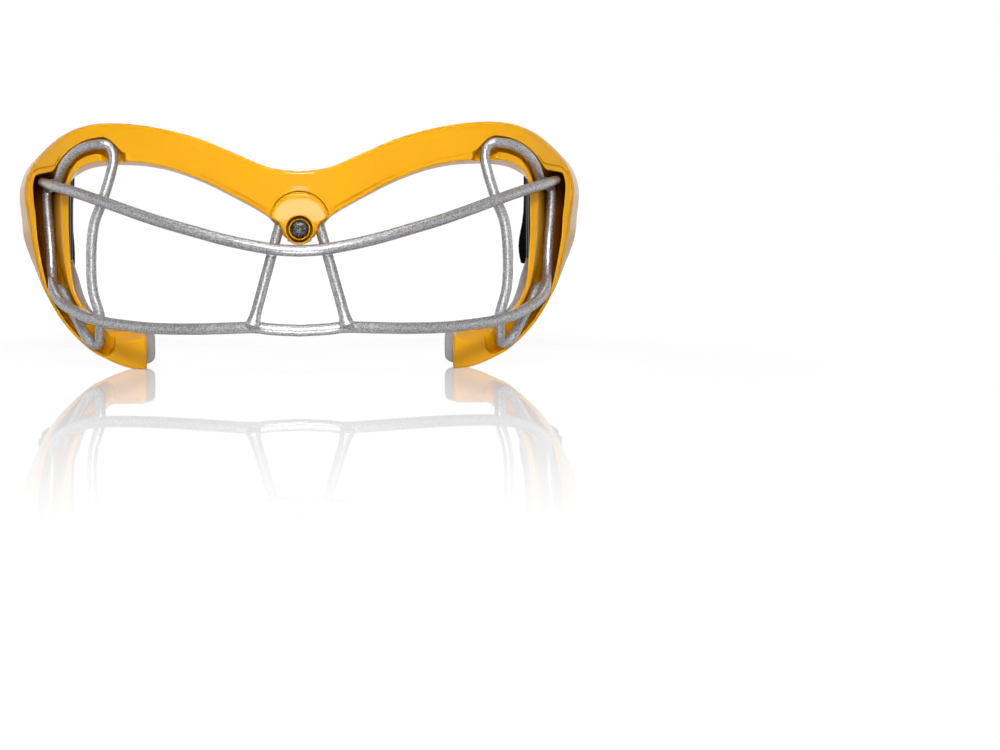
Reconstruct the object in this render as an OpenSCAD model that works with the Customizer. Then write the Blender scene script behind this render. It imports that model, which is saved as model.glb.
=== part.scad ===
// Lacrosse goggles: a moulded frame, a welded wire cage and a two-part elastic strap.
// +X is to the viewer's right, the front faces -Y and the cheek ends stand on Z = 0.

/* [Frame] */
// Width across the rear edges of the temples
frame_w = 178; // [168:1:188]
// Depth from the brow's nose to the rear edges of the temples
frame_d = 58; // [54:1:62]
// Height from the cheek ends to the top of the brow
frame_h = 72; // [68:1:76]
// Depth of the channel in each side arm that takes the cage's ends
channel_depth = 12; // [11:0.5:12.5]
// Depth of the pockets in the brow and the cheeks that take the side loops
pocket_depth = 4.5; // [4:0.1:5.5]
// Thickness of the nose tongue that the cage is screwed to
tongue_t = 4.4; // [3.5:0.1:6]

/* [Cage] */
// Diameter of the upper and the lower wire
rail_wire_d = 3.2; // [2.6:0.1:3.6]
// Diameter of the side loops' wire
loop_wire_d = 3.0; // [2.6:0.1:3.2]
// Diameter of the nose struts
strut_d = 3.0; // [2.4:0.1:3.4]
// How far one wire is melted into the next at a weld
weld_set = 0.25; // [0.1:0.05:0.5]

/* [Nose fixing] */
// Diameter of the clamp's round boss
boss_d = 8.3; // [8:0.1:10]
// Diameter of the recess round the screw's head
recess_d = 7.4; // [6.4:0.1:7.6]
// Diameter of the screw's head
screw_head_d = 4.9; // [4:0.1:5.6]
// Diameter of the screw's shank
screw_d = 3; // [2:0.1:3.4]
// Outer diameter of the threaded insert
insert_d = 4.2; // [4:0.1:5]
// Thickness of the tab welded across the struts
tab_t = 1.5; // [1:0.1:2]

/* [Pads] */
// Thickness of the cheek pads
cheek_pad_t = 4.5; // [3:0.5:6]
// Thickness of the brow pad
brow_pad_t = 3; // [2:0.5:4]
// How far a cheek pad reaches past its cheek end
pad_overhang = 3.8; // [2:0.2:5]

/* [Strap] */
// Width of the elastic
strap_w = 32; // [26:1:34]
// Thickness of the elastic
strap_t = 1.6; // [1.2:0.1:1.8]
// Distance between the folded layers of the elastic
fold_pitch = 3.4; // [3.2:0.1:4.4]
// Length of the adjuster along the strap
slider_l = 9; // [7:0.5:10]
// Thickness of the adjuster
slider_t = 3.8; // [3.6:0.1:4.2]
// Travel of the adjuster along the strap
slider_travel = 8; // [6:1:9]
// Thickness of the clasp's halves
buckle_t = 3; // [2.8:0.1:3.4]
// Length of the clasp's halves
buckle_l = 16; // [14:1:20]

/* [Clips] */
// Thickness of the clip's tongue in the temple slot
tongue_clip_t = 6; // [5:0.1:6.6]
// Diameter of the clip's pivot pin
clip_pin_d = 2.4; // [2:0.1:2.8]
// Radial running clearance of the clip on its pin
pin_clearance = 0.05; // [0.02:0.01:0.1]
// Diameter of the clip's strap bar
bar_d = 2.8; // [2.4:0.1:3.2]
// Gap between pieces that move past each other
gap = 0.3; // [0.2:0.05:0.4]

/* [Hidden] */
LEFT = -1;
RIGHT = 1;
frame_color = "#FCB400";
pad_color = "#A6A6A8";
wire_color = "#A9ABAE";
black_color = "#1C1C1E";

// The outline points are drawn for a frame of this size and stretched to the wanted one
drawn = [178, 58, 72];
stretch = [frame_w / drawn.x, frame_d / drawn.y, frame_h / drawn.z];

// Front outer edge of the right half, from the middle of the brow to the cheek end
outer_edge = [
    [0, 2.5, 56.5], [5, 2.9, 57], [10, 4, 58.3], [19.7, 7.4, 62.7], [28, 10.8, 66.3],
    [36.4, 14.2, 68.9], [45.1, 17.6, 70.9], [52.4, 20.6, 71.9], [58.6, 23.4, 72.1],
    [65, 26.8, 71.2], [70.9, 30, 68.8], [76.2, 33, 64.9], [80.2, 35, 60.6], [82.5, 36, 55.9],
    [83.1, 36.5, 51.1], [82.2, 36, 45.1], [80.7, 34.5, 37.5], [78, 31.5, 27.9],
    [75.2, 29, 21.4], [70.9, 26.5, 14.7], [66.4, 24.5, 9.6], [61.1, 22.6, 5.2],
    [57.5, 21.6, 3.3], [53.9, 20.8, 1.7], [50, 20, 0.4], [44.7, 18.9, -0.5]];
// Front inner edge, station for station
inner_edge = [
    [0, 0.5, 37.1], [4.8, 0.7, 38.8], [8.7, 1.8, 44], [19.6, 5.8, 50.4], [27.1, 9, 54.2],
    [35.3, 12.2, 57.4], [43.1, 15.2, 59.4], [49.7, 17.6, 60.2], [55.1, 19.6, 60.5],
    [60.1, 21.5, 60.3], [63.5, 23, 59.1], [66, 24.6, 57.2], [67.5, 26, 54.4], [68.1, 27, 51.7],
    [68.3, 27.5, 48.7], [68.3, 27.8, 44], [68.2, 27.8, 38.1], [67.6, 26.8, 31],
    [66.7, 25.6, 24.8], [64.7, 24.2, 19.9], [61.8, 23, 15.9], [58, 21.5, 12.4],
    [55.6, 20.6, 8.4], [52.9, 20, 7.2], [49.3, 19.4, 8], [44.7, 18.7, 9.3]];
// From the front outer edge to the rear outer edge
outer_depth = [
    [0, 8, -1], [0.4, 7.8, -1], [0.8, 7.5, -1], [1.2, 8, -1], [1.6, 9, -1],
    [2, 10.5, -1], [2.4, 13, -1], [3, 16, -1], [3.6, 18.5, -1],
    [4.4, 20.5, -1], [5, 21, -0.6], [5.5, 21, -0.5], [5.8, 21.5, 0], [5.9, 22, 0],
    [5.9, 21.5, 0], [6, 21, 0], [6, 19.5, 0], [3.5, 14.5, 0],
    [2.4, 11.5, 0], [2, 10, 0.5], [1.2, 9.5, 0.8], [0.8, 9.5, 0.8],
    [0.5, 9.5, 0.6], [0.3, 9.5, 0.4], [0, 9.5, 0.2], [1.8, 9.5, 0]];
// From the front inner edge to the rear inner edge
inner_depth = [
    [0, 10.1, 0], [0, 9.9, 0], [0.6, 8.8, 0], [1, 8.8, 0], [1.2, 9.6, 0],
    [1.5, 12, 0], [2, 16, 0], [2.6, 20, 0], [3.2, 24, 0],
    [4, 26.5, -0.3], [4.6, 28, -0.4], [5.2, 28.5, -0.4], [5.6, 28.5, 0], [5.6, 28, 0],
    [5.6, 27.5, 0], [5.6, 26, 0], [5.4, 24, 0], [4.4, 17, 0],
    [3, 13, 0], [1.6, 10.5, 0], [1, 10, 0.3], [0.6, 9.6, 0.8],
    [0.3, 9.4, 3], [0.1, 9.2, 4.2], [0, 9, 3.2], [1.8, 9, 1.9]];
// Where the recess starts across the front face, from 0 at the outer edge to 1 at the inner
recess_start = [
    [0, 0.86], [6, 0.86], [7.12, 0.8], [7.3, 0.7], [7.6, 0.5], [8, 0.4],
    [9, 0.42], [10, 0.46], [11, 0.51], [11.5, 0.53], [11.8, 0.53], [12, 0.44], [12.5, 0.2], [13, 0.2],
    [14, 0.23], [15, 0.23], [16, 0.19], [17, 0.17], [18, 0.13], [19, 0.14], [20, 0.08],
    [21, 0.08], [22, 0.1], [22.4, 0.3], [22.7, 0.6], [25, 0.6]];
// Depth of the recess as shares of the pockets and the channel
pocket_share = [[0, 0], [7.02, 0], [7.12, 1], [11.3, 1], [12, 0], [17, 0], [18.6, 1.1],
    [20, 1], [22.35, 1], [22.7, 0], [25, 0]];
channel_share = [[0, 0], [11.3, 0], [12, 1], [16.2, 1], [17.4, 0.62], [18.6, 0], [25, 0]];
// How far the recess also lowers the inner rim, from 0 for a full rim to 1 for none
rim_share = [[0, 0], [7.02, 0], [7.12, 1], [8, 1], [8.5, 0.3], [10, 0.3], [12, 0], [19.6, 0],
    [20.6, 1], [22.35, 1], [22.7, 0], [25, 0]];
// Width of the inner rim across the front face
rim_width = [[0, 0.06], [8, 0.07], [8.5, 0.2], [10, 0.2], [11, 0.12], [12, 0.1], [13.4, 0.18], [17, 0.18],
    [18, 0.16], [19, 0.16], [20.6, 0.1], [25, 0.1]];
// How far the recess's inner wall leans out towards the floor, across the front face
lean = [[0, 0.05], [11, 0.03], [12.4, 0.03], [13.6, 0.13], [16, 0.13], [18, 0.05], [25, 0.05]];
// Radius of the rounded outer front edge
edge_round = [[0, 1], [6, 1.6], [10, 3.2], [13, 2], [16, 1.2], [19, 0.6], [22, 0.5], [25, 1.2]];
corner = 0.8;
last = len(outer_edge) - 1;
// Stations of the loft: close together where a pocket starts or ends
stations = [each [0:0.2:1.8], 1.93, each [2.5:0.5:6.5], 7.02, 7.12, 7.3, 7.6,
    each [8:0.5:11.5], 11.8, each [12:0.5:22], 22.35, 22.7, 23.3, each [24:0.5:25]];

// Nose fixing, along the screw's axis
boss_z = 40.2 * stretch.z;
boss_front = -1.5;
plate_front = 0.6;
plate_t = 1.4;
head_t = 1.3;
head_front = -0.7;
recess_floor = head_front + head_t;
seat_y = 6.2;
tab_y = seat_y - tab_t;
arch_r = 8.4;
arch_z = 42.2 * stretch.z;
socket_d = 2.2;
strut_top_z = 42.5 * stretch.z;

// Cage routes, right half, in real millimetres
upper_points = [
    [0, -3.5, 34.2], [7.7, -3.2, 34.8], [19.1, -1.4, 37], [30.2, 1.8, 40], [41.7, 6.5, 43.4],
    [55.8, 14, 48.3], [64.5, 20.4, 51.2], [72.4, 28, 53.5], [77.6, 36, 55.1]];
lower_points = [
    [0, -8, 12.7], [7.6, -7.9, 13.1], [12.4, -7.6, 13.6], [20.9, -6, 13.3], [29.7, -3.6, 13],
    [40.8, 1, 13], [52.7, 9, 13.8], [58, 13.2, 14.7], [62.2, 17, 15.6], [69.2, 24, 18.7],
    [72.5, 27.2, 22], [74, 29.8, 25.6]];
strut_top_x = 7.7;
strut_foot_x = 12.2;
loop_top_x = 58.4;
loop_foot_x = 59.4;
loop_end_x = 75.4;
arc_sides = 10;

// Temple slot, clip and strap, about the pivot pin of the right temple
pivot = [80.5 * stretch.x, 52.2 * stretch.y, 47 * stretch.z];
tongue_r = 3.5;
slot_h = 19;
pin_l = 12;
bar_y = pivot.y + 18;
strap_x = 82 * stretch.x;
strap_z = 45 * stretch.z;
clip_wall = 2.6;
bar_reach = strap_w / 2 + gap;
loop_r = bar_d / 2 + gap + strap_t / 2;
fold_r = fold_pitch / 2;
main_x = strap_x - loop_r;
folded_x = main_x + fold_pitch;
tail_x = main_x + strap_t + gap;
tail_l = 11;
tail_end_y = bar_y + tail_l;
slider_y = tail_end_y + gap + slider_l / 2 + 1;
fold_y = slider_y + slider_l / 2 + slider_travel + 3.2;
buckle_x = folded_x + loop_r;
buckle_wall = 2;
buckle_corner = 3;
buckle_lead = 7.5;
buckle_bar_y = fold_y - buckle_lead;
buckle_front_y = buckle_bar_y + bar_d / 2 - buckle_l;
buckle_slot = 2 * strap_t + 1.4;
hook_w = strap_w * 0.5;
hook_lip = 2;
hook_root = 3;
hook_t = 1;
hook_l = 7;

function unit(v) = v / norm(v);
function place(p) = [p.x * stretch.x, p.y * stretch.y, p.z * stretch.z];
function placed(list) = [for (p = list) place(p)];
function flip_x(p) = [-p.x, p.y, p.z];

// Value of a piecewise straight curve at t
function ramp(table, t, i = 0) =
    i + 1 >= len(table) - 1 || t <= table[i + 1][0]
        ? table[i][1] + (table[i + 1][1] - table[i][1])
            * min(1, max(0, (t - table[i][0]) / (table[i + 1][0] - table[i][0])))
        : ramp(table, t, i + 1);

// Point at t on a smooth curve through a list of points
function smooth(p, t) =
    let (
        i = min(floor(t), len(p) - 2),
        f = t - i,
        a = p[i],
        b = p[i + 1],
        before = i > 0 ? p[i - 1] : 2 * a - b,
        after = i + 2 < len(p) ? p[i + 2] : 2 * b - a
    )
    0.5 * (2 * a + (b - before) * f + (2 * before - 5 * a + 4 * b - after) * f * f
        + (3 * a - before - 3 * b + after) * f * f * f);

// The same on a closed curve
function smooth_ring(p, t) =
    let (
        n = len(p),
        i = floor(t),
        f = t - i,
        before = p[(i + n - 1) % n],
        a = p[i % n],
        b = p[(i + 1) % n],
        after = p[(i + 2) % n]
    )
    0.5 * (2 * a + (b - before) * f + (2 * before - 5 * a + 4 * b - after) * f * f
        + (3 * a - before - 3 * b + after) * f * f * f);

// Point on a curve whose X rises steadily, at a given X
function at_x(p, x, low, high, steps = 24) =
    let (mid = (low + high) / 2)
    steps == 0 ? smooth(p, mid)
        : smooth(p, mid).x < x ? at_x(p, x, mid, high, steps - 1) : at_x(p, x, low, mid, steps - 1);

// Front and rear corners of the frame at a station
function front_outer(t) = place(smooth(outer_edge, t));
function front_inner(t) = place(smooth(inner_edge, t));
function rear_outer(t) = place(smooth(outer_edge, t) + smooth(outer_depth, t));
function rear_inner(t) = place(smooth(inner_edge, t) + smooth(inner_depth, t));

// Stations up to this one carry the clamp's seat
seat_end = 1.85;
// Where the arch of the seat crosses a station, as a share of the way from a to b
function arch_share(a, b, f = 0.6, steps = 6) =
    let (x = a.x + f * (b.x - a.x), z = arch_z + sqrt(max(0, arch_r * arch_r - x * x)))
    steps == 0 ? f : arch_share(a, b, (a.z - z) / (a.z - b.z), steps - 1);

// Closed section of the frame at a station
function section(t) =
    let (
        a = front_outer(t),
        b = front_inner(t),
        d = rear_outer(t),
        c = rear_inner(t),
        across = unit(b - a),
        back_a = unit(d - a),
        back_b = unit(c - b),
        width = norm(b - a),
        round_a = ramp(edge_round, t),
        seated = t < seat_end,
        rim = 1 - max(ramp(rim_width, t), corner / width + 0.03),
        start = max(seated ? min(arch_share(a, b), rim - 0.06) : ramp(recess_start, t),
            round_a / width + 0.03),
        depth = pocket_depth * ramp(pocket_share, t) + channel_depth * ramp(channel_share, t),
        rim_depth = depth * ramp(rim_share, t),
        p = function (f, deep)
            let (q = a + across * width * f, w = unit(back_a * (1 - f) + back_b * f))
            q + w * (seated ? max(0, (seat_y - q.y) / w.y) : deep)
    )
    [
        a + back_a * round_a,
        a + (back_a + across) * round_a * 0.29,
        a + across * round_a,
        a + across * width * (start - 0.02),
        p(start, depth),
        p(rim - ramp(lean, t), depth),
        p(rim, rim_depth),
        p(1 - corner / width, rim_depth),
        b + back_b * (corner + (seated ? max(0, seat_y - b.y) : rim_depth)),
        c - back_b * corner,
        c + unit(d - c) * corner,
        d + unit(c - d) * corner,
        d - back_a * corner
    ];

// The right side as drawn, or its mirror image on the left
module on_side(side) {
    mirror([side == LEFT ? 1 : 0, 0, 0]) children();
}

// Solid through a list of sections with equally many points
module skin(sections, closed = false) {
    n = len(sections[0]);
    m = len(sections);
    rings = closed ? m : m - 1;
    sides = [for (i = [0:rings - 1], j = [0:n - 1], k = [0, 1])
        let (a = i * n + j, b = i * n + (j + 1) % n, c = ((i + 1) % m) * n + j,
            d = ((i + 1) % m) * n + (j + 1) % n)
        k == 0 ? [a, d, b] : [a, c, d]];
    caps = closed ? [] : [[for (j = [0:n - 1]) j], [for (j = [n - 1:-1:0]) (m - 1) * n + j]];
    polyhedron(points = [for (s = sections) each s], faces = concat(sides, caps), convexity = 8);
}

// Rings of a round wire along a path; ref is a direction the path never runs along
function wire_rings(path, r, ref, closed) =
    let (n = len(path))
    [for (i = [0:n - 1])
        let (
            t = unit(closed ? path[(i + 1) % n] - path[(i + n - 1) % n]
                : path[min(i + 1, n - 1)] - path[max(i - 1, 0)]),
            side = unit(cross(t, ref)),
            up = cross(t, side)
        )
        [for (k = [0:arc_sides - 1])
            path[i] + r * (cos(360 * k / arc_sides) * side + sin(360 * k / arc_sides) * up)]];

// Rounded end of a wire: smaller rings past its last point
function end_rings(ring, path_end, along, r) =
    [for (share = [0.5, 0.87])
        [for (p = ring) path_end + (p - path_end) * sqrt(1 - share * share) + along * r * share]];

module open_wire(points, per_point, r, ref) {
    half = [for (t = [0:1 / per_point:len(points) - 1]) smooth(points, t)];
    path = concat([for (i = [len(half) - 1:-1:1]) flip_x(half[i])], half);
    rings = wire_rings(path, r, ref, false);
    n = len(path) - 1;
    along = unit(path[n] - path[n - 1]);
    tip = end_rings(rings[n], path[n], along, r);
    tail = end_rings(rings[0], path[0], flip_x(along), r);
    skin(concat([tail[1], tail[0]], rings, tip));
}

// The cage's wires as placed curves
upper_route = placed(upper_points);
lower_route = placed(lower_points);
function upper_at(x) = at_x(upper_route, x * stretch.x, 0, len(upper_route) - 1);
function lower_at(x) = at_x(lower_route, x * stretch.x, 0, len(lower_route) - 1);

// Point of a second wire that crosses behind (side 1) or before (side -1) a rail at x
function crossing(at, x, heading, second_d, side) =
    let (
        p = at(x),
        along = unit(at(x + 0.5) - at(x - 0.5)),
        n = unit(cross(along, heading)),
        out = n.y * side > 0 ? n : -n
    )
    p + out * ((rail_wire_d + second_d) / 2 - weld_set);

strut_heading = [0.25, -0.45, -0.86];
strut_upper = crossing(function (x) upper_at(x), strut_top_x, strut_heading, strut_d, 1);
strut_lower = crossing(function (x) lower_at(x), strut_foot_x, strut_heading, strut_d, -1);
strut_way = unit(strut_upper - strut_lower);
function on_strut(z) = strut_lower + strut_way * (z - strut_lower.z) / strut_way.z;
strut_foot_z = strut_lower.z - 1.2;

// The origin is under the middle of the whole part
front_reach = on_strut(strut_foot_z).y - strut_d / 2;
rear_reach = fold_y + fold_r + strap_t / 2;
origin_y = (front_reach + rear_reach) / 2;

// The side loop: round the brow pocket, down behind both rails, round the cheek pocket,
// up to a jog, up the channel and back over another jog
loop_points = concat(
    placed([[58.1, 22, 65.5], [55.2, 21.6, 64.6], [54, 20.6, 61.6], [54.7, 19.4, 56.6]]),
    [crossing(function (x) upper_at(x), loop_top_x, [0.29, -0.05, -0.95], loop_wire_d, 1)],
    placed([[59.3, 18, 42.2], [60.1, 17.4, 33.7], [59.7, 17, 23.5]]),
    [crossing(function (x) lower_at(x), loop_foot_x, [-0.1, 0.1, -0.98], loop_wire_d, 1)],
    placed([[58, 18.8, 10.1], [58.4, 21.2, 7.4], [60.3, 22.2, 7.15], [62.4, 23.1, 9], [65.4, 25.2, 13.6],
        [68.5, 27.2, 19], [70, 29.1, 22.3], [72.2, 31.6, 23.9], [74, 34, 26.8],
        [75.1, 36.8, 31.6], [75.8, 38.8, 37], [76.7, 39.6, 47], [76.5, 39, 53]]),
    [crossing(function (x) upper_at(x), loop_end_x, [-0.48, -0.67, 0.57], loop_wire_d, 1)],
    placed([[69.4, 28.1, 60.1], [64.3, 24.8, 64.3]]));

module loop_body(d) {
    count = 3 * len(loop_points);
    path = [for (i = [0:count - 1]) smooth_ring(loop_points, i / 3)];
    skin(wire_rings(path, d / 2, [0, 1, 0], true), closed = true);
}

module rail_body(route, d) {
    open_wire(route, 3, d / 2, [0, 0, 1]);
}

module side_loop(side) {
    color(wire_color) on_side(side) loop_body(loop_wire_d);
}

module upper_wire() {
    color(wire_color) rail_body(upper_route, rail_wire_d);
}

module lower_wire() {
    color(wire_color) rail_body(lower_route, rail_wire_d);
}

// Straight strut between two points
module rod(from, to, d) {
    way = to - from;
    translate(from)
        rotate([0, acos(way.z / norm(way)), atan2(way.y, way.x)])
            cylinder(h = norm(way), d = d, $fn = 48);
}

module strut_body() {
    rod(on_strut(strut_foot_z), on_strut(strut_top_z), strut_d);
}

module nose_strut(side) {
    color(wire_color) on_side(side) strut_body();
}

// Cylinder from one depth to another, along the screw's axis
module along_y(from, to, d, sides = 64) {
    translate([0, from, boss_z]) rotate([-90, 0, 0]) cylinder(h = to - from, d = d, $fn = sides);
}

// Outline of the clamp in X and Z
module clamp_outline(shrink = 0) {
    r = arch_r - shrink;
    flank = [[0.75, arch_z + 0.2], [0.64, arch_z - 1], [0.57, boss_z - 0.3], [0.5, boss_z - 1.8]];
    polygon(concat(
        [for (a = [80:-10:-80]) [r * sin(a), arch_z + r * cos(a)]],
        [for (p = flank) [-p.x * r, p.y]],
        [for (i = [len(flank) - 1:-1:0]) [flank[i].x * r, flank[i].y]]));
}

module nose_clamp() {
    color(frame_color)
        difference() {
            union() {
                translate([0, plate_front + plate_t, 0])
                    rotate([90, 0, 0]) linear_extrude(plate_t) clamp_outline(gap / 2);
                translate([0, seat_y, 0])
                    rotate([90, 0, 0])
                        linear_extrude(seat_y - plate_front - plate_t / 2)
                            intersection() {
                                clamp_outline(gap);
                                translate([-arch_r, strut_top_z + 2]) square([2 * arch_r, arch_r]);
                            }
                along_y(boss_front, tab_y, boss_d);
            }
            along_y(boss_front - 1, recess_floor, recess_d);
            along_y(boss_front - 1, seat_y, screw_d + gap);
            for (side = [LEFT, RIGHT])
                on_side(side)
                    rod(on_strut(strut_foot_z), on_strut(strut_top_z + 2), strut_d + gap);
        }
}

module clamp_screw() {
    color("#4A4A4C")
        difference() {
            union() {
                along_y(head_front, recess_floor, screw_head_d);
                along_y(recess_floor, seat_y + tongue_t - 0.4, screw_d);
            }
            along_y(head_front - 1, head_front + 0.8, socket_d, 6);
        }
}

module threaded_insert() {
    color("#B8923A")
        difference() {
            along_y(seat_y, seat_y + tongue_t - 0.2, insert_d);
            along_y(seat_y - 1, seat_y + tongue_t + 1, screw_d);
        }
}

module cage_tab() {
    wide = 2 * on_strut(boss_z).x + strut_d * 0.6;
    low = 3.4;
    color(wire_color)
        difference() {
            translate([-wide / 2, tab_y, boss_z - low]) cube([wide, tab_t, low + strut_top_z - boss_z]);
            along_y(tab_y - 1, seat_y + 1, screw_d + gap);
            for (side = [LEFT, RIGHT]) on_side(side) strut_body();
        }
}

// Cylinder across the temple on the pivot's axis
module across_pivot(d, length) {
    translate(pivot) rotate([0, 90, 0]) cylinder(h = length, d = d, center = true, $fn = 64);
}

// Both halves of a list of sections of the right half
function mirrored(half) =
    concat([for (i = [len(half) - 1:-1:1]) [for (p = half[i]) flip_x(p)]], half);

module frame() {
    slot_w = tongue_clip_t + 2 * gap;
    color(frame_color)
        difference() {
            skin(mirrored([for (t = stations) section(t)]));
            along_y(seat_y - 4, seat_y + tongue_t + 3, insert_d);
            for (side = [LEFT, RIGHT]) on_side(side) {
                translate(pivot - [slot_w / 2, tongue_r + gap, slot_h / 2]) cube([slot_w, 30, slot_h]);
                across_pivot(clip_pin_d, pin_l);
            }
            translate([-frame_w, -frame_d, -10]) cube([2 * frame_w, 3 * frame_d, 10]);
        }
}

// Section of a pad on the frame's rear face, between two shares of its width
function pad_section(t, from, to, thick, shift) =
    let (
        d = rear_outer(t),
        c = rear_inner(t),
        a = d + (c - d) * from + shift,
        b = d + (c - d) * to + shift,
        back = [0, thick, 0],
        bevel = thick * 0.3
    )
    [a, b, b + back * 0.6, b + back + unit(a - b) * bevel, a + back + unit(b - a) * bevel,
        a + back * 0.6];

module cheek_pad(side) {
    first = 17;
    inner_side = [[first, 1.3], [18, 1.42], [19, 1.28], [20, 1.08], [22, 1], [last, 0.95]];
    body = [for (t = stations) if (t >= first)
        pad_section(t, 0.15, ramp(inner_side, t), cheek_pad_t, [0, gap, 0])];
    past = [for (k = [1, 2])
        pad_section(last, 0.1, 0.95, cheek_pad_t - k, [-pad_overhang * k / 2, gap + k / 2, 0])];
    color(pad_color) on_side(side) skin(concat(body, past));
}

module brow_pad() {
    reach = 8;
    lower_side = [[0, 0.42], [2, 0.5], [4, 0.85], [reach, 0.85]];
    color(pad_color)
        skin(mirrored([for (t = stations) if (t <= reach)
            pad_section(t, 0.12, ramp(lower_side, t), brow_pad_t, [0, gap, 0])]));
}

// Clip: a tongue in the temple slot and a yoke that holds the strap bar
module strap_clip(side) {
    color(black_color)
        on_side(side)
            difference() {
                union() {
                    across_pivot(2 * tongue_r, tongue_clip_t);
                    translate(pivot - [tongue_clip_t / 2, 0, tongue_r])
                        cube([tongue_clip_t, tongue_r + 7, 2 * tongue_r]);
                    clip_yoke();
                }
                across_pivot(clip_pin_d + 2 * pin_clearance, frame_w / 2);
            }
}

module clip_yoke() {
    arm_x = strap_x - 2;
    cross_y = pivot.y + tongue_r + 6;
    reach = bar_reach + clip_wall;
    translate([pivot.x - tongue_clip_t / 2, cross_y, strap_z - reach])
        cube([tongue_clip_t, 2.4, 2 * reach]);
    for (low = [strap_z - reach, strap_z + bar_reach])
        translate([arm_x, cross_y, low]) cube([4, bar_y + bar_d / 2 - cross_y, clip_wall]);
    translate([strap_x, bar_y, strap_z])
        cylinder(h = 2 * bar_reach + clip_wall, d = bar_d, center = true, $fn = 48);
}

module clip_pin(side) {
    color("#8C8E90") on_side(side) across_pivot(clip_pin_d, pin_l);
}

// Points of an arc in plan, from one angle to another
function turn(centre, r, from, to, steps = 8) =
    [for (i = [0:steps]) let (a = from + (to - from) * i / steps) centre + r * [cos(a), sin(a)]];

// Middle line of the elastic: sewn round the clip's bar, folded once, sewn round the clasp's bar
strap_route = concat(
    [[tail_x, tail_end_y], [tail_x, tail_end_y - tail_l / 2]],
    turn([strap_x, bar_y], loop_r, 20, -180),
    turn([main_x + fold_r, fold_y], fold_r, 180, 0),
    turn([buckle_x, buckle_bar_y], loop_r, 180, 380),
    [for (share = [0.5, 0.9]) [folded_x + strap_t + gap, buckle_bar_y + share * tail_l]]);

// Outline of a band of even thickness along a middle line
function band_side(route, offset) =
    let (n = len(route))
    [for (i = [0:n - 1])
        let (
            into = unit(route[max(i, 1)] - route[max(i, 1) - 1]),
            out = unit(route[min(i, n - 2) + 1] - route[min(i, n - 2)]),
            way = unit(into + out),
            reach = offset / (way * into)
        )
        route[i] + reach * [-way.y, way.x]];

function reversed(list) = [for (i = [len(list) - 1:-1:0]) list[i]];

module strap(side) {
    color(black_color)
        on_side(side)
            translate([0, 0, strap_z - strap_w / 2])
                linear_extrude(strap_w)
                    polygon(concat(band_side(strap_route, strap_t / 2),
                        reversed(band_side(strap_route, -strap_t / 2))));
}

// Adjuster: a flat frame round the elastic, open on its inner face
module slider(side) {
    rim = 2;
    tall = strap_w + 2 * (gap + rim);
    room = strap_t + 2 * gap;
    color(black_color)
        on_side(side)
            translate([main_x, slider_y, strap_z])
                difference() {
                    cube([slider_t, slider_l, tall], center = true);
                    cube([room, slider_l + 1, tall - 2 * rim], center = true);
                    for (y = [-1, 1])
                        translate([-slider_t / 2, y * slider_l * 0.24, 0])
                            cube([slider_t, slider_l * 0.26, tall - 2 * rim - 2], center = true);
                }
}

// Half of the clasp that both halves share: a bar, a slot for the elastic and a plate
module clasp_plate() {
    tall = strap_w + 2 * (gap + buckle_wall);
    deep = buckle_bar_y - buckle_front_y;
    half = tall / 2;
    translate([buckle_x - buckle_t / 2, buckle_front_y, strap_z])
        difference() {
            rotate([90, 0, 90]) linear_extrude(buckle_t)
                polygon([[buckle_corner, -half], [deep, -half], [deep, half], [buckle_corner, half],
                    [0, half - buckle_corner], [0, buckle_corner - half]]);
            translate([-1, deep - bar_d / 2 - buckle_slot, buckle_wall - half])
                cube([buckle_t + 2, bar_d / 2 + buckle_slot + 1, tall - 2 * buckle_wall]);
        }
    translate([buckle_x, buckle_bar_y, strap_z]) cylinder(h = tall, d = bar_d, center = true, $fn = 48);
}

module buckle_hook() {
    color(black_color)
        on_side(LEFT) {
            clasp_plate();
            // Hook along the plate's outer face
            translate([buckle_x + buckle_t / 2, buckle_front_y, strap_z - hook_w / 2]) {
                cube([hook_lip, hook_root, hook_w]);
                translate([hook_lip - hook_t, 0, 0]) cube([hook_t, hook_l, hook_w]);
            }
        }
}

module buckle_catch() {
    color(black_color)
        on_side(RIGHT)
            difference() {
                clasp_plate();
                // Slot that the hook drops into
                translate([buckle_x, buckle_front_y + hook_root + gap, strap_z])
                    cube([2 * buckle_t, hook_root - gap, hook_w + 2 * gap], center = true);
            }
}

translate([0, -origin_y, 0]) frame();
translate([0, -origin_y, 0]) nose_clamp();
translate([0, -origin_y, 0]) clamp_screw();
translate([0, -origin_y, 0]) threaded_insert();
translate([0, -origin_y, 0]) cage_tab();
translate([0, -origin_y, 0]) upper_wire();
translate([0, -origin_y, 0]) lower_wire();
translate([0, -origin_y, 0]) nose_strut(LEFT);  // nose_strut_left
translate([0, -origin_y, 0]) nose_strut(RIGHT);  // nose_strut_right
translate([0, -origin_y, 0]) side_loop(LEFT);  // side_loop_left
translate([0, -origin_y, 0]) side_loop(RIGHT);  // side_loop_right
translate([0, -origin_y, 0]) brow_pad();
translate([0, -origin_y, 0]) cheek_pad(LEFT);  // cheek_pad_left
translate([0, -origin_y, 0]) cheek_pad(RIGHT);  // cheek_pad_right
translate([0, -origin_y, 0]) strap_clip(LEFT);  // strap_clip_left
translate([0, -origin_y, 0]) strap_clip(RIGHT);  // strap_clip_right
translate([0, -origin_y, 0]) clip_pin(LEFT);  // clip_pin_left
translate([0, -origin_y, 0]) clip_pin(RIGHT);  // clip_pin_right
translate([0, -origin_y, 0]) strap(LEFT);  // strap_left
translate([0, -origin_y, 0]) strap(RIGHT);  // strap_right
translate([0, -origin_y, 0]) slider(LEFT);  // slider_left
translate([0, -origin_y, 0]) slider(RIGHT);  // slider_right
translate([0, -origin_y, 0]) buckle_hook();
translate([0, -origin_y, 0]) buckle_catch();
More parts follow.
